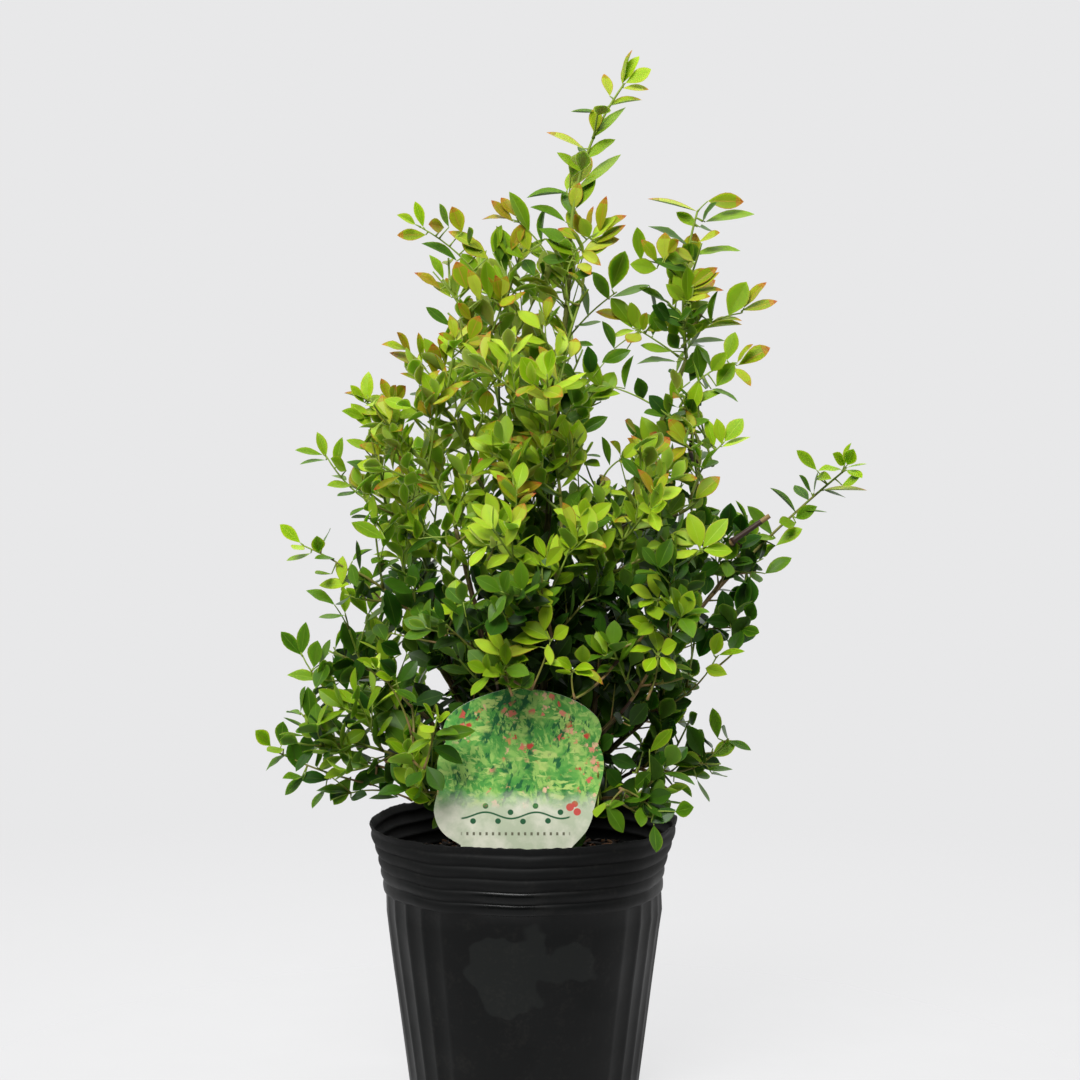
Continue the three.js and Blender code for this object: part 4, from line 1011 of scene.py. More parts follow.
    def twigs(self, name: str, stem: Limb) -> list[Limb]:
        """Grows the side twigs of a stem, a golden turn apart and curving upwards.

        Args:
            name: The mass.
            stem: Its stem.

        Returns:
            The twigs.
        """
        shoot = SHOOTS[name]
        draw = seeded(list(SHOOTS).index(name) + TWIG_SEED)
        lowest, span = self.twig_span
        grown = []
        for i in range(shoot.twigs):
            share = lowest + span * (i + 0.3 + 0.4 * draw()) / shoot.twigs
            turn = GOLDEN_TURN * i + 0.6 * draw()
            vigour = lerp(0.92, 1.08, draw())
            lean = lerp(1.05, 0.6, share)
            direction = leaning(stem.tangent(share), turn, lean)
            reach = max(shoot.spread_at(share) * vigour - self.leaf_room, 5.0)
            grown.append(self.shoot_from(stem.point(share), direction, reach / math.sin(lean), self.twig_radii))
        return grown

    def shoot_from(self, start: np.ndarray, direction: np.ndarray, length: float, radii: tuple[float, float]) -> Limb:
        """Returns a limb that leaves in a direction and turns up a little."""
        end = start + direction * length + UP * 0.2 * length
        return Limb(start, start + direction * length * 0.55, end, *radii)

    def sprigs(self, parent: Limb, first: float, seed: int) -> list[Limb]:
        """Grows the finest sprigs along a twig or stem.

        Args:
            parent: The limb that carries them.
            first: Share of it below which it is bare.
            seed: Seed of their places.

        Returns:
            The sprigs.
        """
        draw = seeded(seed)
        count = round(parent.length * (self.sprig_top - first) / self.sprig_pitch)
        grown = []
        for i in range(count):
            share = first + (self.sprig_top - first) * (i + 0.25 + 0.5 * draw()) / count
            turn = GOLDEN_TURN * i + 0.9 * draw() + 1.1
            lean = lerp(0.65, 1.0, draw())
            length = lerp(8.0, 16.0, draw()) * lerp(1.1, 0.65, share)
            direction = leaning(parent.tangent(share), turn, lean)
            grown.append(self.shoot_from(parent.point(share), direction, length, self.sprig_radii))
        return grown

    def trimmed(self, limb: Limb) -> Limb | None:
        """Returns a limb cut back to the crown's outline, or None if little of it is left."""
        share = 1.0
        while share > 0.3 and not in_crown(limb.point(share)):
            share -= 0.1
        return limb.cut(share) if share > 0.3 else None

    def lay(self, twig: EdgeTwig, seed: int) -> None:
        """Lays a twig of the crown's edge, joins it to its mass and gives each leaf off its course a stalk.

        Args:
            twig: The twig.
            seed: Seed of its place in the bush.
        """
        limb = self.stems[twig.mass]
        if not twig.is_stem:
            limb = Limb.through(twig.place(0), twig.place(1), twig.place(2), *self.laid_radii)
            self.link(limb, twig.mass, seed)
        carriers = self.carriers() + [limb]
        youth = lerp(*self.stalk_youth, ripeness(twig.place(1)[2]))
        for _, x, z, *_ in twig.leaves:
            root = np.array([x, twig.depth, z], float)
            near = self.joint(carriers, root)
            gap = float(np.linalg.norm(near - root))
            if gap > 0.8:
                turn = lerp(near, root, 0.5) + UP * 0.06 * gap
                stalk = Limb(near, turn, root, *self.stalk_radii)
                self.sprays.append(Spray(stalk, 2, youth, twig.mass, seed, False))

    def link(self, limb: Limb, name: str, seed: int) -> None:
        """Adds a leafless limb and the twig that joins it to the bush.

        Args:
            limb: The limb.
            name: The mass.
            seed: Seed of its place in the bush.
        """
        joint = self.joint(self.carriers(), limb.start)
        gap = np.linalg.norm(joint - limb.start)
        turn = lerp(limb.start, joint, 0.45) - limb.tangent(0) * 0.12 * gap
        joining = Limb(joint, turn, limb.start, limb.foot * 1.2, limb.foot)
        for part, youth in ((joining, self.link_youth), (limb, self.laid_youth)):
            self.sprays.append(Spray(part, 1, lerp(*youth, ripeness(limb.start[2])), name, seed, False))

    def carriers(self) -> list[Limb]:
        """Returns the limbs that a laid twig may spring from: the boughs, stems and leafy twigs."""
        return list(self.boughs.values()) + [spray.limb for spray in self.sprays if spray.order < 2 and spray.is_leafy]

    def joint(self, limbs: Sequence[Limb], foot: np.ndarray) -> np.ndarray:
        """Returns the point of some limbs from which a twig best rises to its foot: near it, and rather below it."""
        points = [limb.nearest(foot) for limb in limbs]
        return min(points, key=lambda own: float(np.linalg.norm(own - foot) + 0.5 * max(own[2] - foot[2], 0)))

    def youth_at(self, name: str, point: np.ndarray, draw: Callable[[], float]) -> float:
        """Returns how young a spray's leaves look, from 0 to 1, by its height; a share by how far forward it stands is
        painted shade, darker further back.
        """
        forward = min(max(-point[1] / 70, -0.4), 1.0)
        height = self.high_youth * ripeness(point[2]) + self.top_youth * max(point[2] - 255, 0) / 130
        own = self.least_youth + height + self.front_youth * forward + SHOOTS[name].youth
        return own + self.youth_range * (draw() - 0.5)

    def bough_sprigs(self, name: str, seed: int) -> list[Limb]:
        """Grows the old leafy sprigs that fill the crown's inside, along the upper part of a bough.

        Args:
            name: The bough.
            seed: Seed of their places.

        Returns:
            The sprigs.
        """
        bough, draw = self.boughs[name], seeded(seed)
        count = round(bough.length / self.bough_pitch)
        grown = []
        for i in range(count):
            share = (i + draw()) / count
            turn, lean = GOLDEN_TURN * i + draw(), lerp(0.6, 1.1, draw())
            length = lerp(10.0, 21.0, draw())
            site = bough.point(share)
            if site[2] < self.bare_height:
                continue
            direction = leaning(bough.tangent(share), turn, lean)
            grown.append(self.shoot_from(site, direction, length, self.sprig_radii))
        return grown

    def grow(self) -> None:
        """Grows every limb of the bush."""
        self.grow_boughs()
        for number, name in enumerate(SHOOTS):
            stem = self.stem(name)
            draw = seeded(number + YOUTH_SEED)
            seed = 1000 * (number + 1)
            for sprig in self.bough_sprigs(name, seed + 7):
                seed += 1
                # The inner sprigs' leaves are pushed towards the darkest tones, which paints shade on the crown's
                # inside.
                inner = self.youth_at(name, sprig.end, draw) - 0.3
                self.add(sprig, 2, inner, name, seed)
            self.stems[name] = self.add(stem, 0, self.youth_at(name, stem.end, draw), name, seed) or stem
            for twig in self.twigs(name, stem):
                seed += 10
                youth = self.youth_at(name, twig.end, draw)
                grown = self.add(twig, 1, youth, name, seed)
                for sprig in self.sprigs(grown, 0.22, seed + 3) if grown else []:
                    seed += 1
                    self.add(sprig, 2, youth + 0.16 * (draw() - 0.5), name, seed)
        for number, twig in enumerate(EDGE_TWIGS):
            self.lay(twig, LAID_SEED + number)
        for name, foot, end, radius in STUBS:
            foot, end = np.array(foot, float), np.array(end, float)
            self.link(Limb(foot, (foot + end) / 2, end, radius, radius * 0.9), name, 0)
            self.sprays[-1].youth = self.sprays[-2].youth = -0.3

    def add(self, limb: Limb, order: int, youth: float, name: str, seed: int) -> Limb | None:
        """Adds a leafy limb cut back to the crown's outline, and returns what is left of it."""
        is_laid = order == 0 and name in LAID_STEMS
        cut = limb if is_laid else self.trimmed(limb)
        if cut:
            self.sprays.append(Spray(cut, order, youth, name, seed))
        return cut


# ---------------------------------------------------------------- leaves


class Side(Enum):
    """The parts of a leaf's surface, in the order of its stamp's material indices."""

    UPPER = 0
    UNDER = 1
    VEIN = 2
    MARGIN = 3
    BLUSH = 4
    TIP = 5


class Tone(Enum):
    """The ages and tints of leaf, and a painted shade for the crown's inside, each of which is one joined piece."""

    DEEP = "deep"
    # The shade tone is painted shade: leaves deep inside the crown are coloured darker than a real leaf.
    SHADE = "shade"
    MATURE = "mature"
    FRESH = "fresh"
    LIME = "lime"
    OLIVE = "olive"
    BRONZE = "bronze"


TONE_LETTERS = {"d": Tone.DEEP, "m": Tone.MATURE, "f": Tone.FRESH, "l": Tone.LIME, "o": Tone.OLIVE, "b": Tone.BRONZE}


@dataclass(frozen=True)
class LeafFinish:
    """The colours of one tone of leaf, as screen colours."""

    uppers: tuple[tuple[int, int, int], ...]
    under: tuple[int, int, int]
    vein: tuple[int, int, int]
    margin: tuple[int, int, int]
    blush: tuple[int, int, int]
    tip: tuple[int, int, int]
    roughness: float
    glow: float

    def materials(self, tone: Tone) -> list[bpy.types.Material]:
        """Makes the tone's materials: the upper tints, then underside, vein, margin, blush and tip."""
        named = [(f"upper_{i}", tint, self.roughness) for i, tint in enumerate(self.uppers)]
        named += [("under", self.under, 0.6), ("vein", self.vein, self.roughness)]
        named += [("margin", self.margin, 0.5), ("blush", self.blush, self.roughness), ("tip", self.tip, 0.5)]
        return [leaf_material(f"leaf_{tone.value}_{part}", tint, rough, self.glow) for part, tint, rough in named]


def leaf_material(name: str, tint: tuple[int, int, int], roughness: float, glow: float) -> bpy.types.Material:
    """Makes a plain leaf colour that lets a little light through.

    Args:
        name: Name of the material.
        tint: Screen colour.
        roughness: Roughness of its waxy skin.
        glow: Share of light that goes into the blade.

    Returns:
        The material.
    """
    sheet, material = Sheet.of_material(name)
    sheet.finish(
        Base_Color=colour(*tint),
        Roughness=roughness,
        Subsurface_Weight=glow,
        Subsurface_Radius=(0.6, 1.0, 0.25),
        Subsurface_Scale=0.0006,
        Specular_IOR_Level=0.14,
    )
    return material


LEAF_FINISHES = {
    # Painted shade: the shade tone's colours are darker than any real leaf, for the crown's shaded inside.
    Tone.SHADE: LeafFinish(
        ((17, 35, 5), (24, 43, 7), (31, 52, 9)),
        (36, 58, 16), (40, 62, 18), (30, 50, 12), (26, 42, 10), (28, 40, 12), 0.36, 0.1,
    ),
    Tone.DEEP: LeafFinish(
        ((30, 60, 11), (38, 71, 13), (49, 83, 16)),
        (56, 86, 22), (50, 78, 20), (40, 66, 15), (40, 60, 14), (44, 58, 16), 0.32, 0.15,
    ),
    Tone.MATURE: LeafFinish(
        ((56, 90, 12), (67, 102, 15), (79, 114, 18)),
        (84, 118, 34), (84, 118, 28), (74, 102, 20), (76, 104, 20), (88, 96, 24), 0.4, 0.25,
    ),
    Tone.FRESH: LeafFinish(
        ((95, 127, 8), (107, 139, 16), (119, 148, 26)),
        (126, 158, 46), (116, 148, 32), (116, 132, 24), (116, 136, 20), (134, 116, 28), 0.45, 0.35,
    ),
    Tone.LIME: LeafFinish(
        ((128, 161, 16), (142, 171, 28), (154, 181, 42)),
        (150, 182, 58), (148, 180, 46), (150, 164, 36), (146, 166, 34), (164, 152, 40), 0.45, 0.4,
    ),
    Tone.OLIVE: LeafFinish(
        ((128, 148, 18), (142, 156, 30), (154, 166, 46)),
        (150, 164, 72), (150, 160, 48), (150, 108, 30), (146, 130, 24), (166, 96, 34), 0.45, 0.4,
    ),
    Tone.BRONZE: LeafFinish(
        ((120, 136, 14), (132, 134, 18), (136, 122, 22)),
        (140, 146, 58), (156, 128, 40), (138, 84, 26), (150, 106, 28), (148, 56, 26), 0.42, 0.4,
    ),
}


@dataclass(frozen=True)
class LeafForm:
    """One way that a leaf of length 1 is shaped."""

    half_width: float = 0.24
    widest: float = 0.54
    fold: float = 0.12
    droop: float = 0.06
    wave: float = 0.0
    twist: float = 0.0

    along = (0.0, 0.07, 0.18, 0.33, 0.48, 0.63, 0.78, 0.90, 1.0)
    top = (-1.0, -0.9, -0.05, 0.05, 0.9, 1.0)
    bottom = (-1.0, 0.0, 1.0)
    top_sides = (Side.MARGIN, Side.UPPER, Side.VEIN, Side.UPPER, Side.MARGIN)

    def width_at(self, share: float) -> float:
        """Returns half the blade's width at a share of its length."""
        bent = share ** (math.log(0.5) / math.log(self.widest))
        return self.half_width * max(math.sin(math.pi * bent), 0.0) ** 0.85

    def surface(self, across: float, share: float, lift: float) -> Vector:
        """Returns the point of the blade at a share across and along, lifted by a part of its thickness."""
        width = self.width_at(share)
        side = abs(across)
        height = self.fold * side * width * 2 - self.droop * share**2
        height += self.wave * math.sin(share * 9 + (2 if across > 0 else 0)) * side * width
        if 0 < share < 1:
            height += lift * 0.01 * (1 - side) * math.sin(math.pi * share) ** 0.5
        turn = self.twist * share
        x = across * width
        return Vector((x * math.cos(turn), share, height + x * math.sin(turn)))

    def grid(self, mesh: bmesh.types.BMesh, stations: Sequence[float], sides: Sequence[Side], lift: float) -> None:
        """Adds one face of the blade to a bmesh.

        Args:
            mesh: The bmesh.
            stations: Places across the blade, from -1 to 1.
            sides: What lies between two stations.
            lift: 1 for the upper face, -1 for the under face.
        """
        made = bmesh.ops.create_grid(mesh, x_segments=len(sides), y_segments=len(self.along) - 1, size=1)
        verts = made["verts"]
        places = {}
        for vert in verts:
            column = round((vert.co.x + 1) / 2 * len(sides))
            row = round((vert.co.y + 1) / 2 * (len(self.along) - 1))
            places[vert] = (column, row)
        faces = {face for vert in verts for face in vert.link_faces}
        for face in faces:
            column = min(places[vert][0] for vert in face.verts)
            row = min(places[vert][1] for vert in face.verts)
            side = sides[column]
            if side is Side.UPPER and row >= 6:
                side = Side.TIP if row == 7 else Side.BLUSH
            face.material_index = side.value
        if lift < 0:
            bmesh.ops.reverse_faces(mesh, faces=list(faces))
        for vert in verts:
            column, row = places[vert]
            vert.co = self.surface(stations[column], self.along[row], lift)

    def stamp(self) -> Stamp:
        """Builds the leaf as a closed thin lens.

        Returns:
            Its stamp, with a sharp edge all round the blade.
        """
        mesh = bmesh.new()
        self.grid(mesh, self.top, self.top_sides, 1)
        self.grid(mesh, self.bottom, (Side.UNDER, Side.UNDER), -1)
        bmesh.ops.remove_doubles(mesh, verts=mesh.verts, dist=1e-5)
        bmesh.ops.recalc_face_normals(mesh, faces=mesh.faces)
        for edge in mesh.edges:
            unders = [face.material_index == Side.UNDER.value for face in edge.link_faces]
            edge.smooth = len(set(unders)) == 1
        return Stamp.take(mesh)


SLIM_FORMS = (
    LeafForm(),
    LeafForm(half_width=0.25, widest=0.57, fold=0.05, droop=-0.05),
    LeafForm(half_width=0.20, fold=0.3, droop=0.12),
    LeafForm(half_width=0.23, fold=0.14, droop=0.2, wave=0.12),
    LeafForm(half_width=0.22, fold=0.08, droop=0.02, twist=0.35),
    LeafForm(half_width=0.24, widest=0.6, fold=0.2, droop=-0.1, twist=-0.3),
)
BROAD_FORMS = (
    LeafForm(half_width=0.29, widest=0.53, fold=0.1, droop=0.1),
    LeafForm(half_width=0.31, widest=0.56, fold=0.04, droop=0.03),
    LeafForm(half_width=0.27, widest=0.52, fold=0.2, droop=0.16),
    LeafForm(half_width=0.28, widest=0.58, fold=0.1, droop=0.06, twist=0.3),
    LeafForm(half_width=0.30, widest=0.55, fold=0.14, droop=-0.04, twist=-0.25),
)
LEAF_FORMS = SLIM_FORMS + BROAD_FORMS

# The youth below which a leaf takes each of the darker tones; the lowest, shade, is painted shade.
TONE_LIMITS = ((0.08, Tone.SHADE), (0.28, Tone.DEEP), (0.44, Tone.MATURE), (0.62, Tone.FRESH))

SOIL_CLEAR, RIM_CLEAR = 91.5, 108  # a leaf stays above the one height, and above the other near the pot's wall
WALL_BAND = (54, 62.5)
DEPTH_BAND = (-92, 84)
# Boxes that no leaf enters, round the label's card and before its face: x, z and y, each from and to.
LABEL_BOXES = (((-36, 31), (96, 166), (-51.5, -46.5)), ((-28, 26), (100, 158), (-math.inf, -46.5)))


def form_for(is_broad: bool, rng: random.Random) -> int:
    """Draws the number of a broad or of a slim leaf form."""
    return rng.randrange(len(BROAD_FORMS)) + len(SLIM_FORMS) if is_broad else rng.randrange(len(SLIM_FORMS))


@dataclass
class LeafPlace:
    """Where one leaf sits and how it looks."""

    root: np.ndarray
    direction: np.ndarray
    face: np.ndarray
    length: float
    form: int
    tone: Tone
    tint: int


@dataclass
class Leaves:
    """All the leaves of the bush, placed along its sprays and joined by tone."""

    bush: Bush
    rise: float = 0.12
    light: float = 0.8
    laid_breadth: float = 1.12
    bare: tuple[float, float, float] = (0.12, 0.2, 0.12)  # share of a stem, twig or sprig below its first leaf
    tip_youth: float = 0.22  # how much younger the leaves look at a spray's tip than at its foot
    order_youth: float = 0.1
    youth_spread: float = 0.05
    tint_from: float = 210  # height from which red and olive tints grow more common
    tint_span: float = 190
    places: list[LeafPlace] = field(default_factory=list)

    def seat(self, spray: Spray, share: float, turn: float, lean: float, length: float, rng: random.Random) -> bool:
        """Places one leaf on a spray, with its upper side turned to the light, if it has room.

        Args:
            spray: The spray.
            share: Share of the spray's length.
            turn: Turn round the limb.
            lean: Angle from the limb.
            length: Length of the leaf.
            rng: Source of small variations.

        Returns:
            True if it had room.
        """
        limb = spray.limb
        tangent = limb.tangent(share)
        direction = unit(leaning(tangent, turn, lean) + UP * self.rise)
        outward = leaning(tangent, turn, math.pi / 2)
        site = limb.point(share)
        sky = unit(np.array([site[0], site[1], 0.001])) + UP
        wander = np.array([rng.gauss(0, 0.3) for _ in range(3)])
        face = tangent * math.sin(lean) - outward * math.cos(lean) + sky * self.light + wander
        face = unit(face - direction * (face @ direction))
        root = site + outward * limb.radius(share) * 0.8
        if not self.has_room(root, direction, face, length):
            return False
        if not all(in_crown(root + direction * length * along) for along in (0.3, 0.55, 0.85)):
            return False
        tone = self.tone_of(spray, share, rng)
        tint = rng.randrange(3) if rng.random() < 0.4 else spray.seed % 3
        broad = rng.random() < (0.85 if tone in (Tone.SHADE, Tone.DEEP, Tone.MATURE) else 0.3)
        form = form_for(broad, rng)
        self.places.append(LeafPlace(root, direction, face, length, form, tone, tint))
        return True

    def has_room(self, root: np.ndarray, direction: np.ndarray, face: np.ndarray, length: float) -> bool:
        """Returns True if a leaf is clear of the pot's wall, the mix and the label's face."""
        across = np.cross(direction, face) * length * 0.24
        middle = root + direction * length * 0.5
        for point in (root, middle - across, middle + across, root + direction * length):
            x, y, z = point
            if z < SOIL_CLEAR or not DEPTH_BAND[0] < y < DEPTH_BAND[1]:
                return False
            if z < RIM_CLEAR and WALL_BAND[0] < math.hypot(x, y) < WALL_BAND[1]:
                return False
            if any(all(low < at < high for at, (low, high) in zip((x, z, y), box)) for box in LABEL_BOXES):
                return False
        return True

    def tone_of(self, spray: Spray, share: float, rng: random.Random) -> Tone:
        """Returns the tone that a leaf takes from its spray's youth and its place on it."""
        youth = spray.youth + self.tip_youth * (share - 0.5) + self.order_youth * (spray.order - 1)
        youth += self.youth_spread * rng.gauss(0, 1)
        high = (spray.limb.end[2] - self.tint_from) / self.tint_span
        for limit, tone in TONE_LIMITS:
            if youth < limit:
                return tone
        if high > 0.12 and rng.random() < 0.24 * (1 if spray.seed % 3 == 0 else 0.3):
            return Tone.BRONZE
        return Tone.OLIVE if rng.random() < high * 1.1 else Tone.LIME

    def dress(self, spray: Spray) -> float:
        """Places the leaves of one spray: spaced along it, and a tuft at its tip.

        Args:
            spray: The spray.

        Returns:
            The share of the spray at which its last leaf sits, or 0 if none has room.
        """
        rng = random.Random(spray.seed)
        last = 0.0
        shoot, length = SHOOTS[spray.shoot], spray.limb.length
        bare = self.bare[spray.order]
        count = max(1, round(length * (1 - bare) / shoot.pitch))
        for i in range(count):
            share = bare + (1 - bare) * (i + 0.6) / (count + 0.6)
            size = shoot.leaf * rng.uniform(0.82, 1.12) * lerp(0.8, 1.05, min(share * 1.6, 1))
            turn = GOLDEN_TURN * i + rng.uniform(-0.4, 0.4)
            if self.seat(spray, share, turn, rng.uniform(0.7, 1.15), size, rng):
                last = share
        tuft = rng.choice((2, 3, 3))
        for i in range(tuft):
            share = 1 - 1.1 * (tuft - 1 - i) / length
            size = shoot.leaf * lerp(1.0, 0.7, i / tuft) * rng.uniform(0.85, 1.05)
            turn = GOLDEN_TURN * (count + i) + rng.uniform(-0.4, 0.4)
            if self.seat(spray, min(share, 0.995), turn, lerp(0.95, 0.35, i / max(tuft - 1, 1)), size, rng):
                last = 1.0
        return last

    def lay(self, twig: EdgeTwig, rng: random.Random) -> None:
        """Places the leaves of a twig of the crown's edge as they look from the front.

        Args:
            twig: The twig.
            rng: Source of small variations.
        """
        for letter, x0, z0, x1, z1, wide in twig.leaves:
            tone = TONE_LETTERS[letter]
            root = np.array([x0, twig.depth, z0], float)
            seen = np.array([x1 - x0, 0.0, z1 - z0])
            reach = float(np.linalg.norm(seen))
            length = max(reach, rng.uniform(9.5, 11.5))
            seen[1] = -math.sqrt(length**2 - reach**2) * (1 if rng.random() < 0.75 else -1)
            direction = unit(seen)
            broad = wide / 10 / length > 0.42 or tone is Tone.DEEP
            form = form_for(broad, rng)
            whole = 2 * LEAF_FORMS[form].half_width * length
            turn = math.acos(min(self.laid_breadth * wide / 10 / whole, 0.97))
            toward = unit(EYE - root)
            face = unit(toward - direction * (toward @ direction))
            aside = np.cross(direction, face)
            face = face * math.cos(turn) + aside * math.sin(turn) * (1 if aside[2] > 0 else -1)
            self.places.append(LeafPlace(root, direction, face, length, form, tone, rng.randrange(3)))

    def grow(self) -> None:
        """Places every leaf, takes away the sprigs that bear none and cuts the others back to their last leaf."""
        kept = []
        for spray in self.bush.sprays:
            last = self.dress(spray) if spray.is_leafy else 1.0
            if spray.order == 2 and last < 1:
                if last < 0.2:
                    continue
                spray.limb = spray.limb.cut(last)
            kept.append(spray)
        self.bush.sprays = kept
        for number, twig in enumerate(EDGE_TWIGS):
            self.lay(twig, random.Random(number))

    def build(self) -> list[bpy.types.Object]:
        """Joins the leaves, one piece for each tone.

        Returns:
            The pieces.
        """
        stamps = [form.stamp() for form in LEAF_FORMS]
        pieces = []
        for tone in Tone:
            joined = JoinedMesh(f"leaves_{tone.value}")
            chosen = [place for place in self.places if place.tone is tone]
            for number, stamp in enumerate(stamps):
                own = [place for place in chosen if place.form == number]
                if own:
                    joined.add(stamp, self.corners(stamp, own), self.finishes(stamp, own, tone))
            pieces.append(joined.build(LEAF_FINISHES[tone].materials(tone)))
            log.info("%s: %d leaves", tone.value, len(chosen))
        return pieces

    def corners(self, stamp: Stamp, places: Sequence[LeafPlace]) -> np.ndarray:
        """Returns the corners of the leaves at some places, of the shape leaves, corners, 3."""
        root = np.array([place.root for place in places])[:, None]
        length = np.array([place.length for place in places])[:, None, None]
        along = np.array([place.direction for place in places])
        face = np.array([place.face for place in places])
        across = np.cross(along, face)
        x, y, z = (stamp.corners[None, :, i, None] for i in range(3))
        return root + length * (x * across[:, None] + y * along[:, None] + z * face[:, None])

    def finishes(self, stamp: Stamp, places: Sequence[LeafPlace], tone: Tone) -> np.ndarray:
        """Returns the material index of every face of some leaves."""
        tints = len(LEAF_FINISHES[tone].uppers)
        slots = np.array([0, *range(tints, tints + 5)])
        rows = np.tile(slots[stamp.finishes], (len(places), 1))
        tint = np.array([place.tint for place in places])[:, None]
        plain = [Side.UPPER.value]
        if tone not in (Tone.BRONZE, Tone.OLIVE):
            plain += [Side.BLUSH.value, Side.TIP.value]
        return np.where(np.isin(stamp.finishes, plain)[None], tint, rows)


# ---------------------------------------------------------------- wood


def tube_stamp(sides: int, cuts: int) -> Stamp:
    """Makes a closed tube of radius 1 and length 1 that limbs are shaped from.

    Args:
        sides: Sides of the tube.
        cuts: Cuts along it.

    Returns:
        The stamp, which stands on the origin along +Z.
    """
    mesh = bmesh.new()
    bmesh.ops.create_cone(mesh, cap_ends=True, segments=sides, radius1=1, radius2=1, depth=1)
    bmesh.ops.translate(mesh, verts=mesh.verts, vec=(0, 0, 0.5))
    upright = [edge for edge in mesh.edges if abs(edge.verts[0].co.z - edge.verts[1].co.z) > 0.5]
    bmesh.ops.subdivide_edges(mesh, edges=upright, cuts=cuts, use_grid_fill=True)
    return Stamp.take(mesh)


def along_limb(stamp: Stamp, limb: Limb, radius_at: Callable[[float, float], float], start: float = 0.0) -> np.ndarray:
    """Bends a tube stamp along a limb.

    Args:
        stamp: The tube.
        limb: The limb.
        radius_at: Radius by share of the limb and by turn round it.
        start: Share at which the tube starts, below 0 for one that runs back into its parent.

    Returns:
        Its corners.
    """
    chord = unit(limb.end - limb.start)
    reference = np.eye(3)[int(np.argmin(np.abs(chord)))]
    points = np.empty_like(stamp.corners)
    for i, (x, y, z) in enumerate(stamp.corners):
        share = lerp(start, 1.0, z)
        tangent = limb.tangent(max(share, 0.0))
        level = unit(np.cross(reference, tangent))
        rise = np.cross(tangent, level)
        site = limb.point(share) if share >= 0 else limb.start + tangent * share * limb.length
        radius = radius_at(share, math.atan2(y, x)) * math.hypot(x, y)
        points[i] = site + (level * x + rise * y) * radius
    return points


class Wood(Enum):
    """The ages of twig, in the order of their material indices."""

    BROWN = 0
    TAN = 1
    OLIVE = 2
    GREEN = 3


WOOD_TINTS = {
    Wood.BROWN: (50, 31, 20),
    Wood.TAN: (128, 104, 62),
    Wood.OLIVE: (112, 112, 44),
    Wood.GREEN: (124, 146, 50),
}


@dataclass
class Twigs:
    """The stems, twigs and sprigs, joined by order."""

    bush: Bush
    tip_youth: float = 0.45  # how much younger the wood looks at a limb's tip than at its foot
    order_youth: float = 0.22  # how much younger it looks with each order of branching
    age_limits: tuple[float, ...] = (0.28, 0.48, 0.72)
    leaf_pitch: float = 4.6

    def ages(self, spray: Spray, shares: np.ndarray) -> np.ndarray:
        """Returns the wood's age at some shares of a spray."""
        youth = spray.youth + self.tip_youth * shares + self.order_youth * spray.order
        return np.digitize(youth, self.age_limits)

    def build(self) -> list[bpy.types.Object]:
        """Makes one piece for the stems, one for the twigs and one for the sprigs.

        Returns:
            The pieces.
        """
        pieces = []
        for order, (name, sides, cuts) in enumerate((("stems", 8, 20), ("twigs", 6, 8), ("sprigs", 5, 4))):
            stamp = tube_stamp(sides, cuts)
            faces = np.split(stamp.loops, np.cumsum(stamp.counts)[:-1])
            middles = np.array([np.mean(stamp.corners[face, 2]) for face in faces])
            joined = JoinedMesh(name)
            for spray in self.bush.sprays:
                if spray.order != order:
                    continue
                points = along_limb(stamp, spray.limb, lambda share, turn: self.radius(spray, share, turn))
                joined.add(stamp, points[None], self.ages(spray, middles)[None])
            pieces.append(joined.build([wood_material(age) for age in Wood]))
        return pieces

    def radius(self, spray: Spray, share: float, turn: float) -> float:
        """Returns the radius of a spray's limb, with a slight swelling at each leaf."""
        length = spray.limb.length
        swelling = 0.12 * max(math.cos(math.tau * share * length / self.leaf_pitch + turn), 0) ** 3
        collar = 0.5 * math.exp(-share * length / 0.8) if spray.order else 0
        return spray.limb.radius(share) * (1 + swelling + collar)


def wood_material(age: Wood) -> bpy.types.Material:
    """Returns the plain finish of one age of twig."""
    name = f"wood_{age.name.lower()}"
    if name in bpy.data.materials:
        return bpy.data.materials[name]
    sheet, material = Sheet.of_material(name)
    sheet.finish(Base_Color=colour(*WOOD_TINTS[age]), Roughness=0.55, Specular_IOR_Level=0.35)
    return material


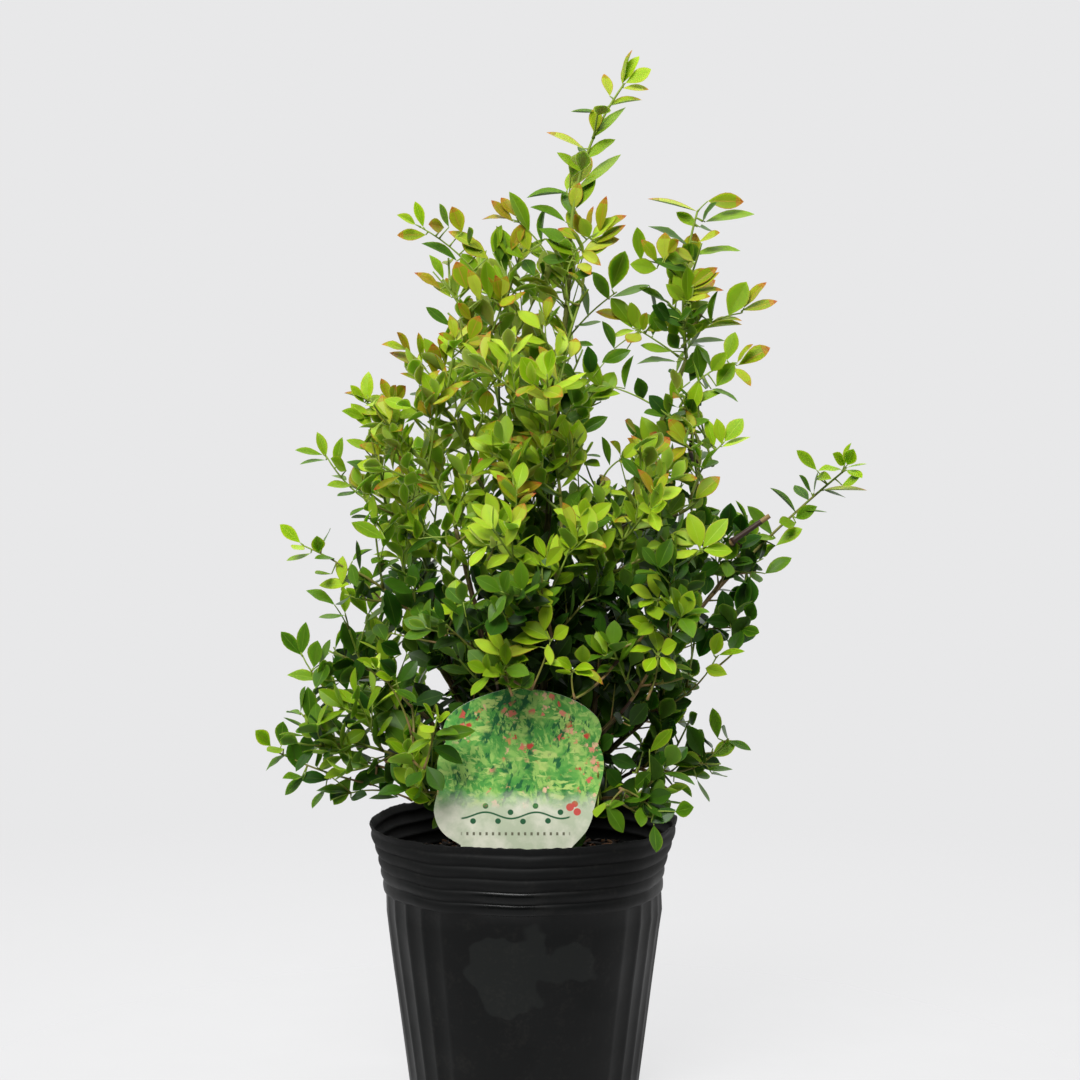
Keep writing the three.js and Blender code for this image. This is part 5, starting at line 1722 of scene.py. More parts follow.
@dataclass
class Bark:
    """The trunk and the boughs in one mesh with the relief of their bark."""

    bush: Bush
    ring: float = 2.2  # length between two rings of a bough
    sides: int = 10

    def build(self) -> bpy.types.Object:
        """Makes the piece.

        Returns:
            The piece.
        """
        joined = JoinedMesh("bark")
        self.add_trunk(joined)
        for number, (name, bough) in enumerate(self.bush.boughs.items()):
            start = -0.02 if name in FORKS else -4.5 / bough.length
            stamp = tube_stamp(self.sides, max(6, round(bough.length / self.ring)))
            points = along_limb(stamp, bough, lambda share, turn: self.radius(bough, number, share, turn), start)
            joined.add(stamp, points[None])
            flat = stamp.corners.copy()
            flat[:, :2] *= 1.5
            flat[:, 2] = flat[:, 2] * bough.length + 300 * number
            joined.runs.append(flat)
        return joined.build([self.material()])

    def radius(self, bough: Limb, number: int, share: float, turn: float) -> float:
        """Returns a bough's radius with ridges, nodes and the flare at its foot."""
        run = share * bough.length
        where = Vector((math.cos(turn) * 1.6, math.sin(turn) * 1.6, run * 0.16 + number * 17))
        ridges = 0.13 * noise.noise(where) + 0.07 * noise.noise(where * 3.1)
        nodes = 0.14 * max(math.cos(run * math.tau / 13 + number), 0) ** 8
        flare = 0.55 * math.exp(-max(run, 0) / 3.0)
        return bough.radius(max(share, 0)) * (1 + ridges + nodes + flare)

    def add_trunk(self, joined: JoinedMesh) -> None:
        """Adds the stool that the boughs spring from: a flat cut, a root flare, a waist and a rounded head.

        Args:
            joined: The piece that it goes into.
        """
        bush = self.bush
        outline = ((0, 0), (9.8, 0), (8.6, 1.2), (7.3, 2.6), (6.4, 4.6), (6.7, 6.4), (7.6, 8), (8.2, 9.5), (8.2, 11.5))
        outline += ((7.5, 14), (6.0, 16.4), (3.6, 18.2), (1.6, 18.9), (0, 19))
        mesh = turned(outline, 36)
        for vert in mesh.verts:
            turn = math.atan2(vert.co.y, vert.co.x)
            low = 1 - smoothstep(vert.co.z, 0, 8)
            where = Vector((math.cos(turn) * 2.2, math.sin(turn) * 2.2, vert.co.z * 0.12))
            factor = 1 + 0.1 * noise.noise(where) + 0.06 * noise.noise(where * 3)
            factor -= 0.12 * low * (0.5 + 0.5 * math.sin(turn * 5))
            vert.co.x *= factor
            vert.co.y *= factor
            vert.co.z += bush.trunk_foot
        stamp = Stamp.take(mesh)
        joined.add(stamp, stamp.corners[None])
        joined.runs.append(stamp.corners)

    def material(self) -> bpy.types.Material:
        """Makes the bark's finish, whose streaks run along each limb.

        Returns:
            The material.
        """
        sheet, material = Sheet.of_material("bark")
        run = sheet.add("ShaderNodeAttribute", attribute_name="run").outputs["Vector"]
        long_run = sheet.add("ShaderNodeMapping", {"Vector": run, "Scale": (1, 1, 0.12)}).outputs[0]
        streaks = sheet.noise(long_run, 1400, 5, 0.6)
        patches = sheet.noise(run, 160, 3)
        brown = sheet.ramp(streaks, ((0.3, (40, 29, 17)), (0.5, (76, 60, 37)), (0.68, (116, 99, 68))))
        olive = sheet.ramp(streaks, ((0.3, (48, 46, 20)), (0.55, (88, 82, 42)), (0.7, (124, 116, 70))))
        tint = sheet.mix(sheet.rise(patches, 0.42, 0.6), brown, olive)
        green = sheet.ramp(streaks, ((0.3, (58, 66, 22)), (0.55, (92, 98, 36)), (0.7, (120, 124, 54))))
        height = sheet.axes()["Z"]
        tint = sheet.mix(sheet.rise(sheet.times(height, 2.5), 0.5, 0.66), tint, green)
        grit = SpeckleGroup.mask(sheet, run, 500, 0.35)
        tint = sheet.mix(grit, tint, colour(40, 30, 20))
        rough = sheet.ramp(streaks, ((0.3, 0.85), (0.7, 0.55)))
        bump = sheet.bump(streaks, 0.6, 0.0003)
        sheet.finish(Base_Color=tint, Roughness=rough, Normal=bump, Specular_IOR_Level=0.3)
        return material


# ---------------------------------------------------------------- pot


@dataclass
class Pot:
    """The soft nursery pot: corrugated collar, bands of flutes, wavy lip and drain holes."""

    height: float = 106
    base_radius: float = 44.5
    shoulder_radius: float = 54.4
    rim_radius: float = 60
    wall: float = 0.8
    floor: float = 1.4
    collar: float = 27
    ridges: int = 5
    ridge_depth: float = 1.0
    lip: float = 3
    squareness: float = 0.016
    corner_turn: float = 0.65
    ease: tuple[float, float] = (1.010, 1.0235)  # how much wider its base and rim are pressed than its solid
    press: tuple[float, float] = (0.037, 0.008)  # how far its collar is pressed in at both sides, and more on the right
    press_bands: tuple[tuple[float, float], tuple[float, float]] = ((75, 82), (86, 108))  # where that comes and goes
    flute_bands: int = 3
    flutes: int = 4
    flute_depth: float = 0.75
    flute_turn: float = 3.4
    flute_pitch: float = math.radians(10)
    drains: int = 6
    drain_radius: float = 4
    drain_circle: float = 29
    steps: int = 360

    @property
    def shoulder(self) -> float:
        """Height of the collar's lower edge."""
        return self.height - self.collar

    def outside(self) -> list[tuple[float, float]]:
        """Returns the outer profile from the centre of the underside to the lip, as radius and height."""
        points = [(0, 0), (20, 0), (36, 0), (42.6, 0), (43.6, 0.15), (44.3, 0.7), (44.62, 1.8)]
        foot_radius, foot_height = points[-1]
        for i in range(1, 11):
            height = lerp(foot_height, self.shoulder - 0.4, i / 10)
            points.append((lerp(foot_radius, self.shoulder_radius, i / 10), height))
        pitch = (self.collar - self.lip) / self.ridges
        for i in range(self.ridges * 8 + 1):
            height = self.shoulder + i * pitch / 8
            share = (height - self.shoulder) / (self.collar - self.lip)
            base = lerp(self.shoulder_radius + 0.5, self.rim_radius - 1.2, share)
            points.append((base + self.ridge_depth * abs(math.sin(math.pi * i / 8)) ** 0.7, height))
        points += [(self.rim_radius - 1.0, self.height - 2.4), (self.rim_radius - 0.6, self.height - 1.2)]
        return points + [(self.rim_radius - 0.35, self.height - 0.3), (self.rim_radius - 0.6, self.height)]

    def inside(self) -> list[tuple[float, float]]:
        """Returns the inner profile from the lip to the centre of the floor."""
        points = [(self.rim_radius - 1.1, self.height - 0.1), (self.rim_radius - 1.4, self.height - 1.0)]
        wall = [(radius - self.wall - 0.15, height) for radius, height in self.outside()]
        points += [point for point in reversed(wall) if 2 < point[1] < self.height - 2]
        return points + [(radius, self.floor) for radius in (self.base_radius - self.wall, 30, 12, 0)]

    def squash(self, turn: float, height: float) -> float:
        """Returns the factor by which the wall is out of round."""
        share = height / self.height
        (both, right), (low, high) = self.press, self.press_bands
        collar = smoothstep(height, *low) * (1 - smoothstep(height, *high))
        pressed = (both + right * math.cos(turn)) * math.cos(turn) ** 2 * collar
        return lerp(*self.ease, share) + self.squareness * share * math.cos(4 * (turn - self.corner_turn)) - pressed

    def flute(self, turn: float, height: float) -> float:
        """Returns how deep the wall is fluted at a direction and a height."""
        if height > self.shoulder + 0.01 or height < 0.5:
            return 0.0
        along = (turn - self.flute_turn) % (math.tau / self.flute_bands)
        if along > self.flutes * self.flute_pitch:
            return 0.0
        fade = smoothstep(height, 1, 8)
        return self.flute_depth * fade * abs(math.sin(math.pi * along / self.flute_pitch)) ** 0.8

    def build(self) -> bpy.types.Object:
        """Makes the pot.

        Returns:
            The piece.
        """
        mesh = turned(self.outside() + self.inside(), self.steps)
        for vert in mesh.verts:
            radius = math.hypot(vert.co.x, vert.co.y)
            if radius < 1e-3:
                continue
            turn, height = math.atan2(vert.co.y, vert.co.x), vert.co.z
            soft = smoothstep(height, 20, self.height)
            around = Vector((math.cos(turn), math.sin(turn), 0))
            dent = 0.6 * soft * noise.noise(around * 1.3 + UP_Z * height * 0.02)
            dent += 0.3 * soft * noise.noise(around * 5 + UP_Z * height * 0.12)
            bent = (radius - self.flute(turn, height) + dent) * self.squash(turn, height)
            wavy = smoothstep(height, self.height - 12, self.height)
            lift = wavy * (0.9 * noise.noise(around * 1.8 + UP_Z * 4) + 0.45 * noise.noise(around * 7 + UP_Z * 9))
            lift += 0.4 * smoothstep(height, self.height - 1.5, self.height) * noise.noise(around * 24)
            upper = smoothstep(height, self.shoulder - 10, self.shoulder + 6)
            lift += 0.7 * upper * noise.noise(around * 2.6 + UP_Z * 14)
            vert.co = Vector((bent * math.cos(turn), bent * math.sin(turn), height + lift))
        smooth_in_metres(mesh)
        pot = object_of("pot_shell", mesh, [self.material()])
        self.drill(pot)
        return pot

    def drill(self, pot: bpy.types.Object) -> None:
        """Cuts the drain holes through the floor.

        Args:
            pot: The piece.
        """
        mesh = bmesh.new()
        radius = self.drain_radius * MM
        for hole in range(self.drains):
            turn = hole * math.tau / self.drains
            made = bmesh.ops.create_cone(
                mesh, cap_ends=True, segments=24, radius1=radius, radius2=radius, depth=0.008
            )
            where = (math.cos(turn) * self.drain_circle * MM, math.sin(turn) * self.drain_circle * MM, 0)
            bmesh.ops.translate(mesh, verts=made["verts"], vec=where)
        drill = object_of("drain_drill", mesh, [])
        cut = pot.modifiers.new("drain_holes", "BOOLEAN")
        cut.operation, cut.object, cut.solver = "DIFFERENCE", drill, "EXACT"
        bpy.context.view_layer.update()
        graph = bpy.context.evaluated_depsgraph_get()
        drilled = bpy.data.meshes.new_from_object(pot.evaluated_get(graph))
        pot.modifiers.clear()
        pot.data = drilled
        bpy.data.objects.remove(drill)

    def material(self) -> bpy.types.Material:
        """Makes the pot's finish: black glossy plastic, scuffed and a little dusty, with a painted reflection on its
        front.

        Returns:
            The material.
        """
        sheet, material = Sheet.of_material("pot_plastic")
        here = sheet.place()
        upright = sheet.place(scale=(1, 1, 0.12))
        cloud = sheet.noise(here, 26, 4)
        scuffs = sheet.noise(upright, 420, 5, 0.65)
        dust = SpeckleGroup.mask(sheet, here, 130, 0.36)
        dusty = sheet.times(dust, 0.12)
        # Slightly paler blotches, partly real stains and partly a painted reflection on the glossy plastic.
        stain_and_reflection = sheet.rise(sheet.noise(here, 19, 2, 0.4), 0.5, 0.53)
        # A paler soft patch in the middle of the front panel is a painted reflection.
        reflection_patch = {"Vector": here, "Location": (-0.0025, 0.015, -0.096), "Scale": (1, 0.3, 1.6)}
        near = sheet.add("ShaderNodeMapping", reflection_patch).outputs[0]
        reach = sheet.add("ShaderNodeVectorMath", {0: near}, operation="LENGTH").outputs["Value"]
        reach = sheet.sums("MULTIPLY_ADD", reach, 11, sheet.times(sheet.noise(here, 52, 2, 0.5), 0.9))
        plastic = sheet.mix(stain_and_reflection, colour(4, 5, 5), colour(8, 9, 9))
        plastic = sheet.mix(sheet.fall(reach, 0.68, 0.71), plastic, colour(19, 21, 20))
        tint = sheet.mix(dusty, plastic, colour(84, 80, 72))
        axes = sheet.axes(here)
        aside = sheet.sums("ABSOLUTE", sheet.sums("ADD", axes["X"], 0.0055))
        low = sheet.away(axes["Z"], 0.0835)
        worn = sheet.times(sheet.fall(sheet.times(aside, 30), 0.2, 0.5), 0.34)
        worn = sheet.times(worn, sheet.fall(sheet.times(low, 100), 0.5, 0.8))
        rough = sheet.sums("ADD", sheet.ramp(cloud, ((0.35, 0.42), (0.65, 0.54))), sheet.times(scuffs, 0.1))
        rough = sheet.sums("SUBTRACT", rough, worn)
        matt = sheet.ramp(sheet.times(axes["Z"], 10), ((0.87, 0.0), (0.9, 0.16)))
        rough = sheet.sums("ADD", rough, matt)
        ripple = sheet.sums("ADD", sheet.noise(here, 55, 2), sheet.times(scuffs, 0.04))
        bump = sheet.bump(ripple, 0.5, 0.0006)
        sheet.finish(Base_Color=tint, Roughness=rough, Normal=bump, Specular_IOR_Level=0.18)
        return material


# ---------------------------------------------------------------- potting mix


@dataclass
class PottingMix:
    """The dark mix in the pot, with bits of bark and crumbs on its surface."""

    pot: Pot
    top: float = 89
    foot: float = 1.7
    clearance: float = 0.6
    chips: int = 900
    crumbs: int = 1500

    def height(self, x: float, y: float) -> float:
        """Returns the height of the mix at a place, with a low mound round the trunk."""
        lumps = math.sin(x * 0.31 + 1) * math.cos(y * 0.27) + 0.6 * math.sin(x * 0.13 - y * 0.41)
        beyond = smoothstep(math.hypot(x, y), 16, 28)
        fine = 0.7 * noise.noise(Vector((x * 0.4, y * 0.4, 1))) + 0.35 * noise.noise(Vector((x * 1.1, y * 1.1, 5)))
        return self.top + 1.5 * (1 - beyond) + 0.8 * lumps * beyond + fine

    def radius(self, height: float) -> float:
        """Returns the radius of the mix at a height."""
        share = height / self.pot.shoulder
        return lerp(self.pot.base_radius, self.pot.shoulder_radius, share) - self.pot.wall - self.clearance - 1.0

    def build(self) -> list[bpy.types.Object]:
        """Makes the bed of mix and the bits on it.

        Returns:
            The pieces.
        """
        return [self.bed(), self.bits()]

    def bed(self) -> bpy.types.Object:
        """Makes the bed as one closed turned shape with a rough top."""
        rim = self.radius(self.top)
        outline = [(0, self.foot), (self.radius(0), self.foot), (self.radius(40), 40), (rim, self.top - 1.5)]
        outline += [(rim * (1 - i / 60), self.top) for i in range(1, 61)]
        mesh = turned(outline, 180)
        for vert in mesh.verts:
            turn = math.atan2(vert.co.y, vert.co.x)
            if vert.co.z == self.top:
                vert.co.z = self.height(vert.co.x, vert.co.y)
            factor = self.pot.squash(turn, vert.co.z)
            vert.co.x *= factor
            vert.co.y *= factor
        smooth_in_metres(mesh)
        return object_of("potting_mix", mesh, [self.material()])

    def bits(self) -> bpy.types.Object:
        """Makes the chips of bark and the crumbs as one joined piece."""
        rng = random.Random(7)
        joined = JoinedMesh("mix_bits")
        stamps = [self.chip(seed) for seed in range(5)]
        groups: dict[int, tuple[list[np.ndarray], list[int]]] = {i: ([], []) for i in range(len(stamps))}
        for number in range(self.chips + self.crumbs):
            is_chip = number < self.chips
            turn, reach = rng.uniform(0, math.tau), self.radius(self.top) * math.sqrt(rng.random()) * 0.985
            reach *= min(self.pot.squash(turn, self.top), 1)
            x, y = reach * math.cos(turn), reach * math.sin(turn)
            size = rng.uniform(0.7, 2.0) if is_chip else rng.uniform(0.3, 0.8)
            scale = np.array([size * rng.uniform(0.9, 2.2), size * rng.uniform(0.6, 1.1), size * rng.uniform(0.3, 0.7)])
            spin, tip = rng.uniform(0, math.tau), rng.gauss(0, 0.35)
            along = np.array([math.cos(spin) * math.cos(tip), math.sin(spin) * math.cos(tip), math.sin(tip)])
            across = unit(np.cross(UP, along))
            over = np.cross(along, across)
            which = rng.randrange(len(stamps))
            local = stamps[which].corners * scale
            centre = np.array([x, y, self.height(x, y) + scale[2] * rng.uniform(0.1, 0.8)])
            points = centre + local[:, :1] * along + local[:, 1:2] * across + local[:, 2:] * over
            groups[which][0].append(points)
            groups[which][1].append(min(int(rng.random() ** 1.4 * len(MIX_TINTS)), len(MIX_TINTS) - 1))
        for which, (points, tints) in groups.items():
            rows = np.tile(np.array(tints)[:, None], (1, len(stamps[which].counts)))
            joined.add(stamps[which], np.array(points), rows)
        return joined.build([mix_material(i) for i in range(len(MIX_TINTS))])

    def chip(self, seed: int) -> Stamp:
        """Makes one rough chip of size 1.

        Args:
            seed: Seed of its shape.

        Returns:
            The stamp.
        """
        rng = random.Random(seed)
        mesh = bmesh.new()
        bmesh.ops.create_icosphere(mesh, subdivisions=1, radius=1)
        for vert in mesh.verts:
            vert.co *= rng.uniform(0.7, 1.25)
        for edge in mesh.edges:
            edge.smooth = rng.random() < 0.4
        return Stamp.take(mesh)

    def material(self) -> bpy.types.Material:
        """Makes the mix's finish: moist dark peat with paler grit."""
        sheet, material = Sheet.of_material("peat")
        here = sheet.place()
        clods = sheet.noise(here, 300, 6, 0.65)
        tint = sheet.ramp(clods, ((0.3, (14, 10, 7)), (0.52, (36, 26, 18)), (0.7, (72, 52, 34))))
        grit = SpeckleGroup.mask(sheet, here, 900, 0.34)
        tint = sheet.mix(grit, tint, colour(120, 88, 56))
        fine = sheet.noise(here, 1600, 5, 0.7)
        bump = sheet.bump(fine, 0.9, 0.0008)
        rough = sheet.ramp(clods, ((0.3, 0.75), (0.7, 0.95)))
        sheet.finish(Base_Color=tint, Roughness=rough, Normal=bump, Specular_IOR_Level=0.25)
        return material


MIX_TINTS = ((22, 15, 10), (34, 24, 16), (52, 34, 20), (84, 54, 30), (118, 76, 42), (140, 104, 70))


def mix_material(number: int) -> bpy.types.Material:
    """Returns the finish of one tint of chip."""
    sheet, material = Sheet.of_material(f"mix_chip_{number}")
    sheet.finish(Base_Color=colour(*MIX_TINTS[number]), Roughness=0.8, Specular_IOR_Level=0.3)
    return material


# ---------------------------------------------------------------- plant label


@dataclass
class PlantLabel:
    """The plant label: a waisted round card on a stake, with a printed pattern of leaves."""

    thickness: float = 0.8
    forward: float = -49
    foot: float = 101
    half: float = 31.5
    height: float = 63
    cell: float = 4
    steps: int = 5  # between two points of the outline
    stake: tuple[tuple[float, float], ...] = ((-9.6, 101.2), (-4.6, 66), (-0.4, 66), (4.6, 101.2))
    right: tuple[tuple[float, float], ...] = (
        (17.6, 102), (17.9, 104), (23.3, 109.9), (25.6, 114.6), (26.3, 117.8), (27.5, 123.1), (29.0, 128.5),
        (29.9, 132.4), (30.2, 136.4), (29.5, 140.2), (28.0, 143.6), (29.0, 146.8), (29.2, 149.6), (27.2, 154.1),
        (20.1, 159.5), (10.2, 163.2), (-0.5, 164.4),
    )
    left: tuple[tuple[float, float], ...] = (
        (-7.2, 164.2), (-18.1, 160.6), (-25.4, 156.5), (-29.1, 152.4), (-30.2, 148.2), (-29.2, 144.4), (-31.2, 140.6),
        (-32.4, 136.2), (-32.4, 130), (-32.6, 124.6), (-33.7, 119.3), (-33.5, 116.2), (-32.1, 112.2), (-29.2, 108.6),
        (-23.7, 105.2), (-23.5, 102),
    )

    def outline(self) -> list[tuple[float, float]]:
        """Returns the card's outline as x and z, rounded through its points with a crisp notch on each side."""
        points = [np.array(point) for point in self.right + self.left]
        made = [tuple(points[0])]
        for i in range(len(points) - 1):
            before, after = points[max(i - 1, 0)], points[min(i + 2, len(points) - 1)]
            near, far = points[i], points[i + 1]
            lean_in = (far - before) / 6 if tuple(near) not in self.notches else (far - near) / 3
            lean_out = (after - near) / 6 if tuple(far) not in self.notches else (far - near) / 3
            for step in range(1, self.steps + 1):
                s = step / self.steps
                a, b, c, d = (1 - s) ** 3, 3 * s * (1 - s) ** 2, 3 * s * s * (1 - s), s**3
                made.append(tuple(a * near + b * (near + lean_in) + c * (far - lean_out) + d * far))
        return made + list(self.stake)

    @property
    def notches(self) -> tuple[tuple[float, float], ...]:
        """The outline's crisp points: the waist on each side and the ends of the neck."""
        return self.right[10], self.left[5], self.right[1], self.left[-2]

    def build(self) -> bpy.types.Object:
        """Makes the card, cut into cells so that it can bow, and gives it its thickness.

        Returns:
            The piece.
        """
        mesh = bmesh.new()
        mesh.faces.new([mesh.verts.new((x, 0, z - self.foot)) for x, z in self.outline()])
        for normal, numbers in ((Vector((1, 0, 0)), range(-8, 9)), (UP_Z, range(-9, 17))):
            for i in numbers:
                geometry = mesh.verts[:] + mesh.edges[:] + mesh.faces[:]
                bmesh.ops.bisect_plane(mesh, geom=geometry, plane_co=normal * (i * self.cell), plane_no=normal)
        bmesh.ops.recalc_face_normals(mesh, faces=mesh.faces)
        front = mesh.faces[:]
        if front[0].normal.y > 0:
            bmesh.ops.reverse_faces(mesh, faces=front)
        grown = bmesh.ops.extrude_face_region(mesh, geom=front)
        moved = [item for item in grown["geom"] if isinstance(item, bmesh.types.BMVert)]
        bmesh.ops.translate(mesh, verts=moved, vec=(0, self.thickness, 0))
        bmesh.ops.recalc_face_normals(mesh, faces=mesh.faces)
        for face in mesh.faces:
            face.material_index = 0 if face.normal.y < -0.5 else 1
            face.smooth = True
        for edge in mesh.edges:
            is_inner = len({face.material_index for face in edge.link_faces}) == 1
            edge.smooth = is_inner and abs(edge.calc_face_angle(0)) < 0.6
        for vert in mesh.verts:
            bow = 0.9 * (vert.co.x / self.half) ** 2 + 0.4 * (vert.co.z / self.height) ** 2
            vert.co.y += self.forward - self.thickness / 2 + bow
            vert.co.z += self.foot
        bmesh.ops.scale(mesh, vec=(MM, MM, MM), verts=mesh.verts)
        return object_of("plant_label", mesh, [self.print_material(), self.card_material()])

    def fronds(self, sheet: Sheet, turn: float, fineness: float) -> bpy.types.NodeSocket:
        """Returns a mask of fine printed fronds that lie in one direction."""
        laid = sheet.place(turn=(0, turn, 0))
        where = sheet.add("ShaderNodeMapping", {"Vector": laid, "Scale": (1, 1, 0.34)}).outputs[0]
        return sheet.rise(sheet.noise(where, fineness, 3, 0.6), 0.5, 0.56)

    def disc(self, sheet: Sheet, where: Sequence[float], radius: float) -> bpy.types.NodeSocket:
        """Returns the mask of a printed round spot: its centre's x and z and its radius, in millimetres."""
        axes = sheet.axes()
        flat = sheet.add("ShaderNodeCombineXYZ", {0: axes["X"], 2: axes["Z"]}).outputs[0]
        away = {0: flat, 1: (where[0] * MM, 0, where[1] * MM)}
        distance = sheet.add("ShaderNodeVectorMath", away, operation="DISTANCE").outputs["Value"]
        share = sheet.sums("DIVIDE", distance, radius * MM * 1.25)
        return sheet.fall(share, 0.7, 0.8)

    def print_material(self) -> bpy.types.Material:
        """Makes the printed front: ferny greens with clustered pink flecks, and a pale band with a sprig below.

        Returns:
            The material.
        """
        sheet, material = Sheet.of_material("label_print")
        here = sheet.place()
        cloud = sheet.noise(here, 60, 5, 0.6)
        ground = sheet.ramp(
            cloud,
            ((0.34, (46, 108, 58)), (0.46, (80, 154, 70)), (0.56, (116, 180, 84)), (0.7, (158, 200, 104))),
        )
        greens = ((150, 200, 100), (84, 160, 72), (184, 210, 118), (42, 104, 60), (158, 202, 104))
        for green, turn, fineness in zip(greens, (0.8, -0.9, 1.5, -0.4, 0.2), (560, 500, 640, 520, 700)):
            chosen = sheet.rise(sheet.noise(sheet.place(turn=(0, turn, 0.4)), 120, 2), 0.47, 0.55)
            ground = sheet.mix(sheet.times(self.fronds(sheet, turn, fineness), chosen), ground, colour(*green))
        ragged = sheet.add("ShaderNodeTexNoise", {"Vector": here, "Scale": 700.0, "Detail": 2.0}).outputs["Color"]
        stray = sheet.mix(0.004, here, ragged, "ADD")
        inputs = {"Vector": stray, "Scale": 270.0, "Randomness": 1.0}
        cells = sheet.add("ShaderNodeTexVoronoi", inputs)
        chance = sheet.add("ShaderNodeSeparateColor", {0: cells.outputs["Color"]}).outputs[0]
        clusters = sheet.rise(sheet.noise(sheet.place(turn=(0, 0.5, 0)), 85, 2), 0.5, 0.55)
        spots = sheet.times(sheet.fall(cells.outputs["Distance"], 0.3, 0.42), clusters)
        pinks = ((0.1, (196, 66, 58)), (0.45, (222, 128, 106)), (0.7, (236, 196, 160)), (0.95, (206, 150, 92)))
        ground = sheet.mix(spots, ground, sheet.ramp(chance, pinks))
        height = sheet.axes(here)["Z"]
        wisps = sheet.sums("ADD", height, sheet.times(sheet.noise(here, 220, 5, 0.7), 0.009))
        share = sheet.sums("DIVIDE", sheet.sums("SUBTRACT", wisps, 0.1235), 0.007)
        blotches = sheet.ramp(sheet.noise(here, 90, 4, 0.6), ((0.4, (184, 194, 166)), (0.6, (216, 217, 197))))
        band = self.sprig(sheet, blotches)
        tint = sheet.mix(sheet.rise(share, 0.0, 1.0), band, ground)
        rough = sheet.ramp(cloud, ((0.3, 0.3), (0.7, 0.42)))
        sheet.finish(Base_Color=tint, Roughness=rough, Specular_IOR_Level=0.3)
        return material

    def sprig(self, sheet: Sheet, ground: bpy.types.NodeSocket) -> bpy.types.NodeSocket:
        """Prints a waving sprig with round leaves and berries, and a row of dots under it, on the pale band.

        Args:
            sheet: The material's nodes.
            ground: The band's own colour.

        Returns:
            The band's colour with the print.
        """
        axes = sheet.axes()
        wave = sheet.times(sheet.sums("SINE", sheet.times(axes["X"], 330.0)), 0.0012)
        rise = sheet.sums("SUBTRACT", axes["Z"], 0.1165)
        gap = sheet.away(rise, wave)
        aside = sheet.sums("ABSOLUTE", sheet.sums("ADD", axes["X"], 0.003))
        within = sheet.fall(sheet.times(aside, 25), 0.5, 0.52)
        line = sheet.times(sheet.fall(sheet.times(gap, 1000), 0.25, 0.45), within)
        print_green, print_grey = colour(44, 92, 60), colour(104, 104, 84)
        ground = sheet.mix(line, ground, print_green)
        for i in range(8):
            x = -19 + 4.7 * i
            z = 116.5 + (2.4 if i % 2 else -2.2) + 1.2 * math.sin(x * 0.33)
            ground = sheet.mix(self.disc(sheet, (x, z), 1.15), ground, print_green)
        for x, z, radius in ((17.5, 119.6, 1.6), (20.2, 117.8, 1.5), (19.3, 120.8, 1.3)):
            ground = sheet.mix(self.disc(sheet, (x, z), radius), ground, colour(198, 84, 76))
        beat = sheet.sums("SINE", sheet.times(axes["X"], 2600.0))
        row = sheet.away(axes["Z"], 0.1095)
        dots = sheet.times(sheet.rise(beat, 0.3, 0.6), sheet.fall(sheet.times(row, 1000), 0.5, 0.7))
        return sheet.mix(sheet.times(dots, within), ground, print_grey)

    def card_material(self) -> bpy.types.Material:
        """Makes the card's plain back and edges."""
        sheet, material = Sheet.of_material("label_card")
        cloud = sheet.noise(sheet.place(), 60, 4)
        tint = sheet.ramp(cloud, ((0.3, (214, 220, 206)), (0.7, (228, 230, 220))))
        sheet.finish(Base_Color=tint, Roughness=0.45)
        return material


# ---------------------------------------------------------------- studio


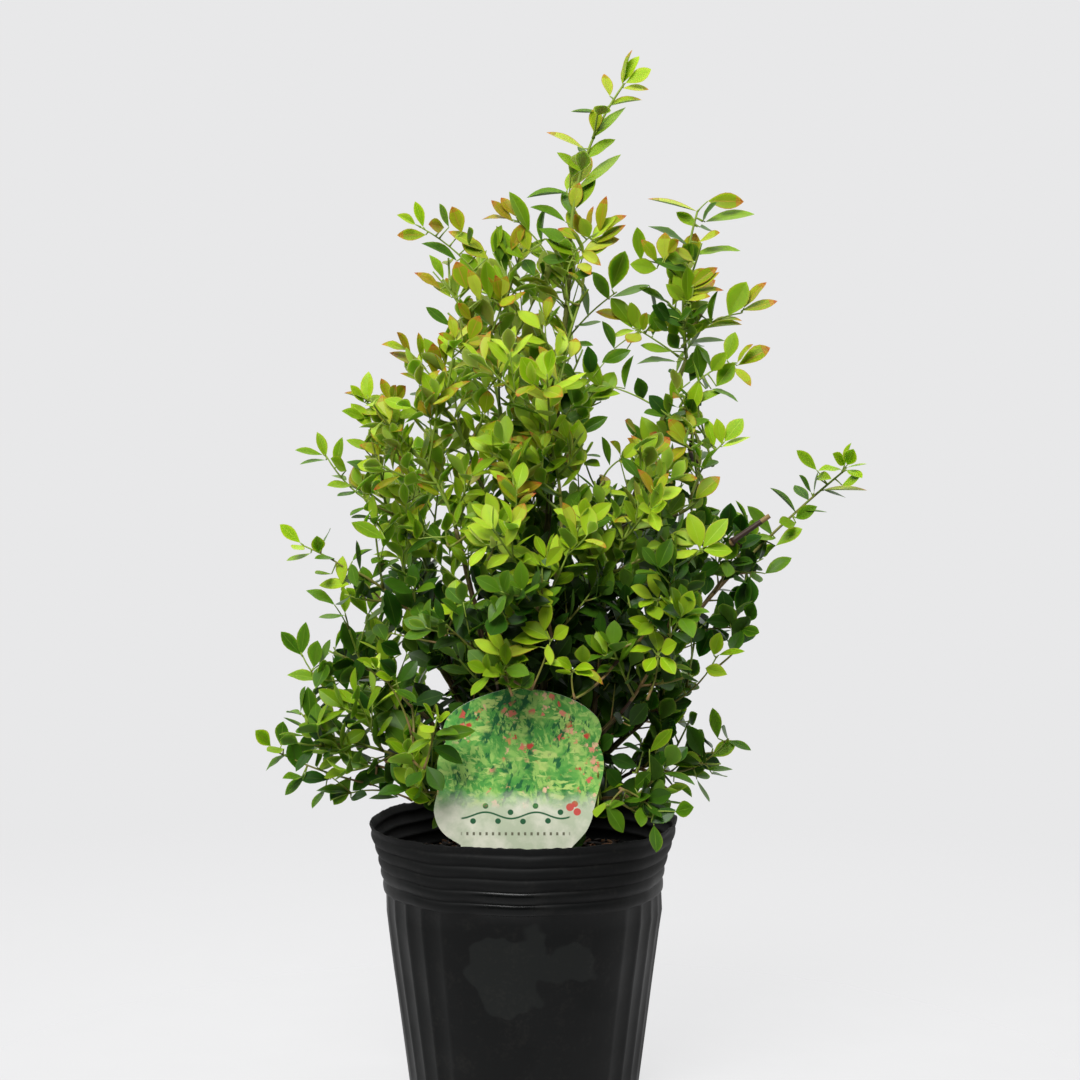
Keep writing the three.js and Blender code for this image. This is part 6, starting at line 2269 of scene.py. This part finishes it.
@dataclass
class Studio:
    """The pale floor, the soft lights and the camera."""

    camera_at: tuple[float, float, float] = (0.0062, -1.25, 0.331)
    aim: tuple[float, float, float] = (0.0062, 0.0, 0.216)
    lens: float = 107.7
    sensor: float = 36
    pale: tuple[float, float, float, float] = colour(232, 232, 233)

    def build(self) -> None:
        """Sets up the stage, the lights and the camera."""
        self.floor()
        self.world()
        self.lamp("key_box", (-0.5, -1.5, 1.8), 1.1, 66)
        data = bpy.data.cameras.new("camera")
        data.lens, data.sensor_width, data.sensor_fit = self.lens, self.sensor, "HORIZONTAL"
        data.clip_start, data.clip_end = 0.01, 100
        bpy.context.scene.camera = self.hang("camera", data, self.camera_at, self.aim)
        bpy.context.scene.view_settings.view_transform = "Standard"

    def hang(self, name: str, data: bpy.types.ID, place: Sequence[float], aim: Sequence[float]) -> bpy.types.Object:
        """Hangs a lamp or the camera at a place, faces it towards a point and returns it."""
        item = bpy.data.objects.new(name, data)
        item.location = place
        item.rotation_euler = (Vector(aim) - Vector(place)).to_track_quat("-Z", "Y").to_euler()
        bpy.context.scene.collection.objects.link(item)
        return item

    def floor(self) -> None:
        """Makes the floor: pale round the pot, and fading into the backdrop further out."""
        mesh = bmesh.new()
        bmesh.ops.create_circle(mesh, cap_ends=True, radius=0.7, segments=96)
        sheet, material = Sheet.of_material("floor_paint")
        here = sheet.place()
        reach = sheet.add("ShaderNodeVectorMath", {0: here}, operation="LENGTH").outputs["Value"]
        solid = sheet.fall(reach, 0.10, 0.60)
        grain = sheet.noise(here, 40, 3)
        tint = sheet.ramp(grain, ((0.3, 0.09), (0.7, 0.095)))
        sheet.finish(
            Base_Color=tint,
            Roughness=0.9,
            Specular_IOR_Level=0.1,
            Emission_Color=(1, 1, 1.01, 1),
            Emission_Strength=0.69,
            Alpha=solid,
        )
        floor = object_of("floor", mesh, [material])
        floor.location.z = -0.0005
        floor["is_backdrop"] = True

    def world(self) -> None:
        """Makes the surroundings: dim even light, seen as the backdrop's pale grey."""
        world = bpy.data.worlds.new("studio")
        bpy.context.scene.world = world
        world.use_nodes = True
        world.node_tree.nodes.clear()
        sheet = Sheet(world.node_tree)
        way = sheet.axes(sheet.add("ShaderNodeTexCoord").outputs["Generated"])
        behind = sheet.ramp(sheet.sums("MULTIPLY_ADD", way["Y"], 0.5), ((0.25, 0.03), (0.5, 0.45), (0.9, 0.9)))
        above = sheet.rise(way["Z"], 0.2, 0.9)
        light = sheet.mix(1.0, behind, above, "ADD")
        lit = sheet.add("ShaderNodeBackground", {"Color": light, "Strength": 1.0})
        seen = sheet.add("ShaderNodeBackground", {"Color": self.pale, "Strength": 1.0})
        ray = sheet.add("ShaderNodeLightPath").outputs["Is Camera Ray"]
        both = sheet.add("ShaderNodeMixShader", {0: ray, 1: lit.outputs[0], 2: seen.outputs[0]})
        sheet.add("ShaderNodeOutputWorld", {"Surface": both.outputs[0]})

    def lamp(self, name: str, place: tuple[float, float, float], size: float, power: float) -> None:
        """Hangs one soft box that faces the plant.

        Args:
            name: Name of the lamp.
            place: Where it hangs.
            size: Side of the box.
            power: Its power in watts.
        """
        data = bpy.data.lights.new(name, "AREA")
        data.shape, data.size, data.energy = "SQUARE", size, power
        self.hang(name, data, place, (0, 0, 0.2))


def main() -> None:
    """Builds every piece in order, sets it on its body and hides the solids that it stands for."""
    logging.basicConfig(level=logging.INFO, format="%(message)s")
    Studio().build()
    bush = Bush()
    bush.grow()
    log.info("%d sprays", len(bush.sprays))
    bark = Bark(bush).build()
    report(bark)
    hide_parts("trunk", *(f"bough_{name}" for name in SHOOTS))
    foliage = Leaves(bush)
    foliage.grow()
    for piece in Twigs(bush).build():
        report(piece)
    leaves = foliage.build()
    for piece in leaves:
        report(piece)
    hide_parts(*(f"foliage_{name}" for name in SHOOTS))
    pot = Pot()
    shell = pot.build()
    report(shell)
    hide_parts("pot")
    mix = PottingMix(pot).build()
    for piece in mix:
        report(piece)
    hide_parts("soil")
    label = PlantLabel().build()
    report(label)
    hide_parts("label")
    boxes = {"cad": cad_box, "visual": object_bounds()}
    {name: [list(corner) for corner in box] for name, box in boxes.items()}


if __name__ == "__main__":
    main()
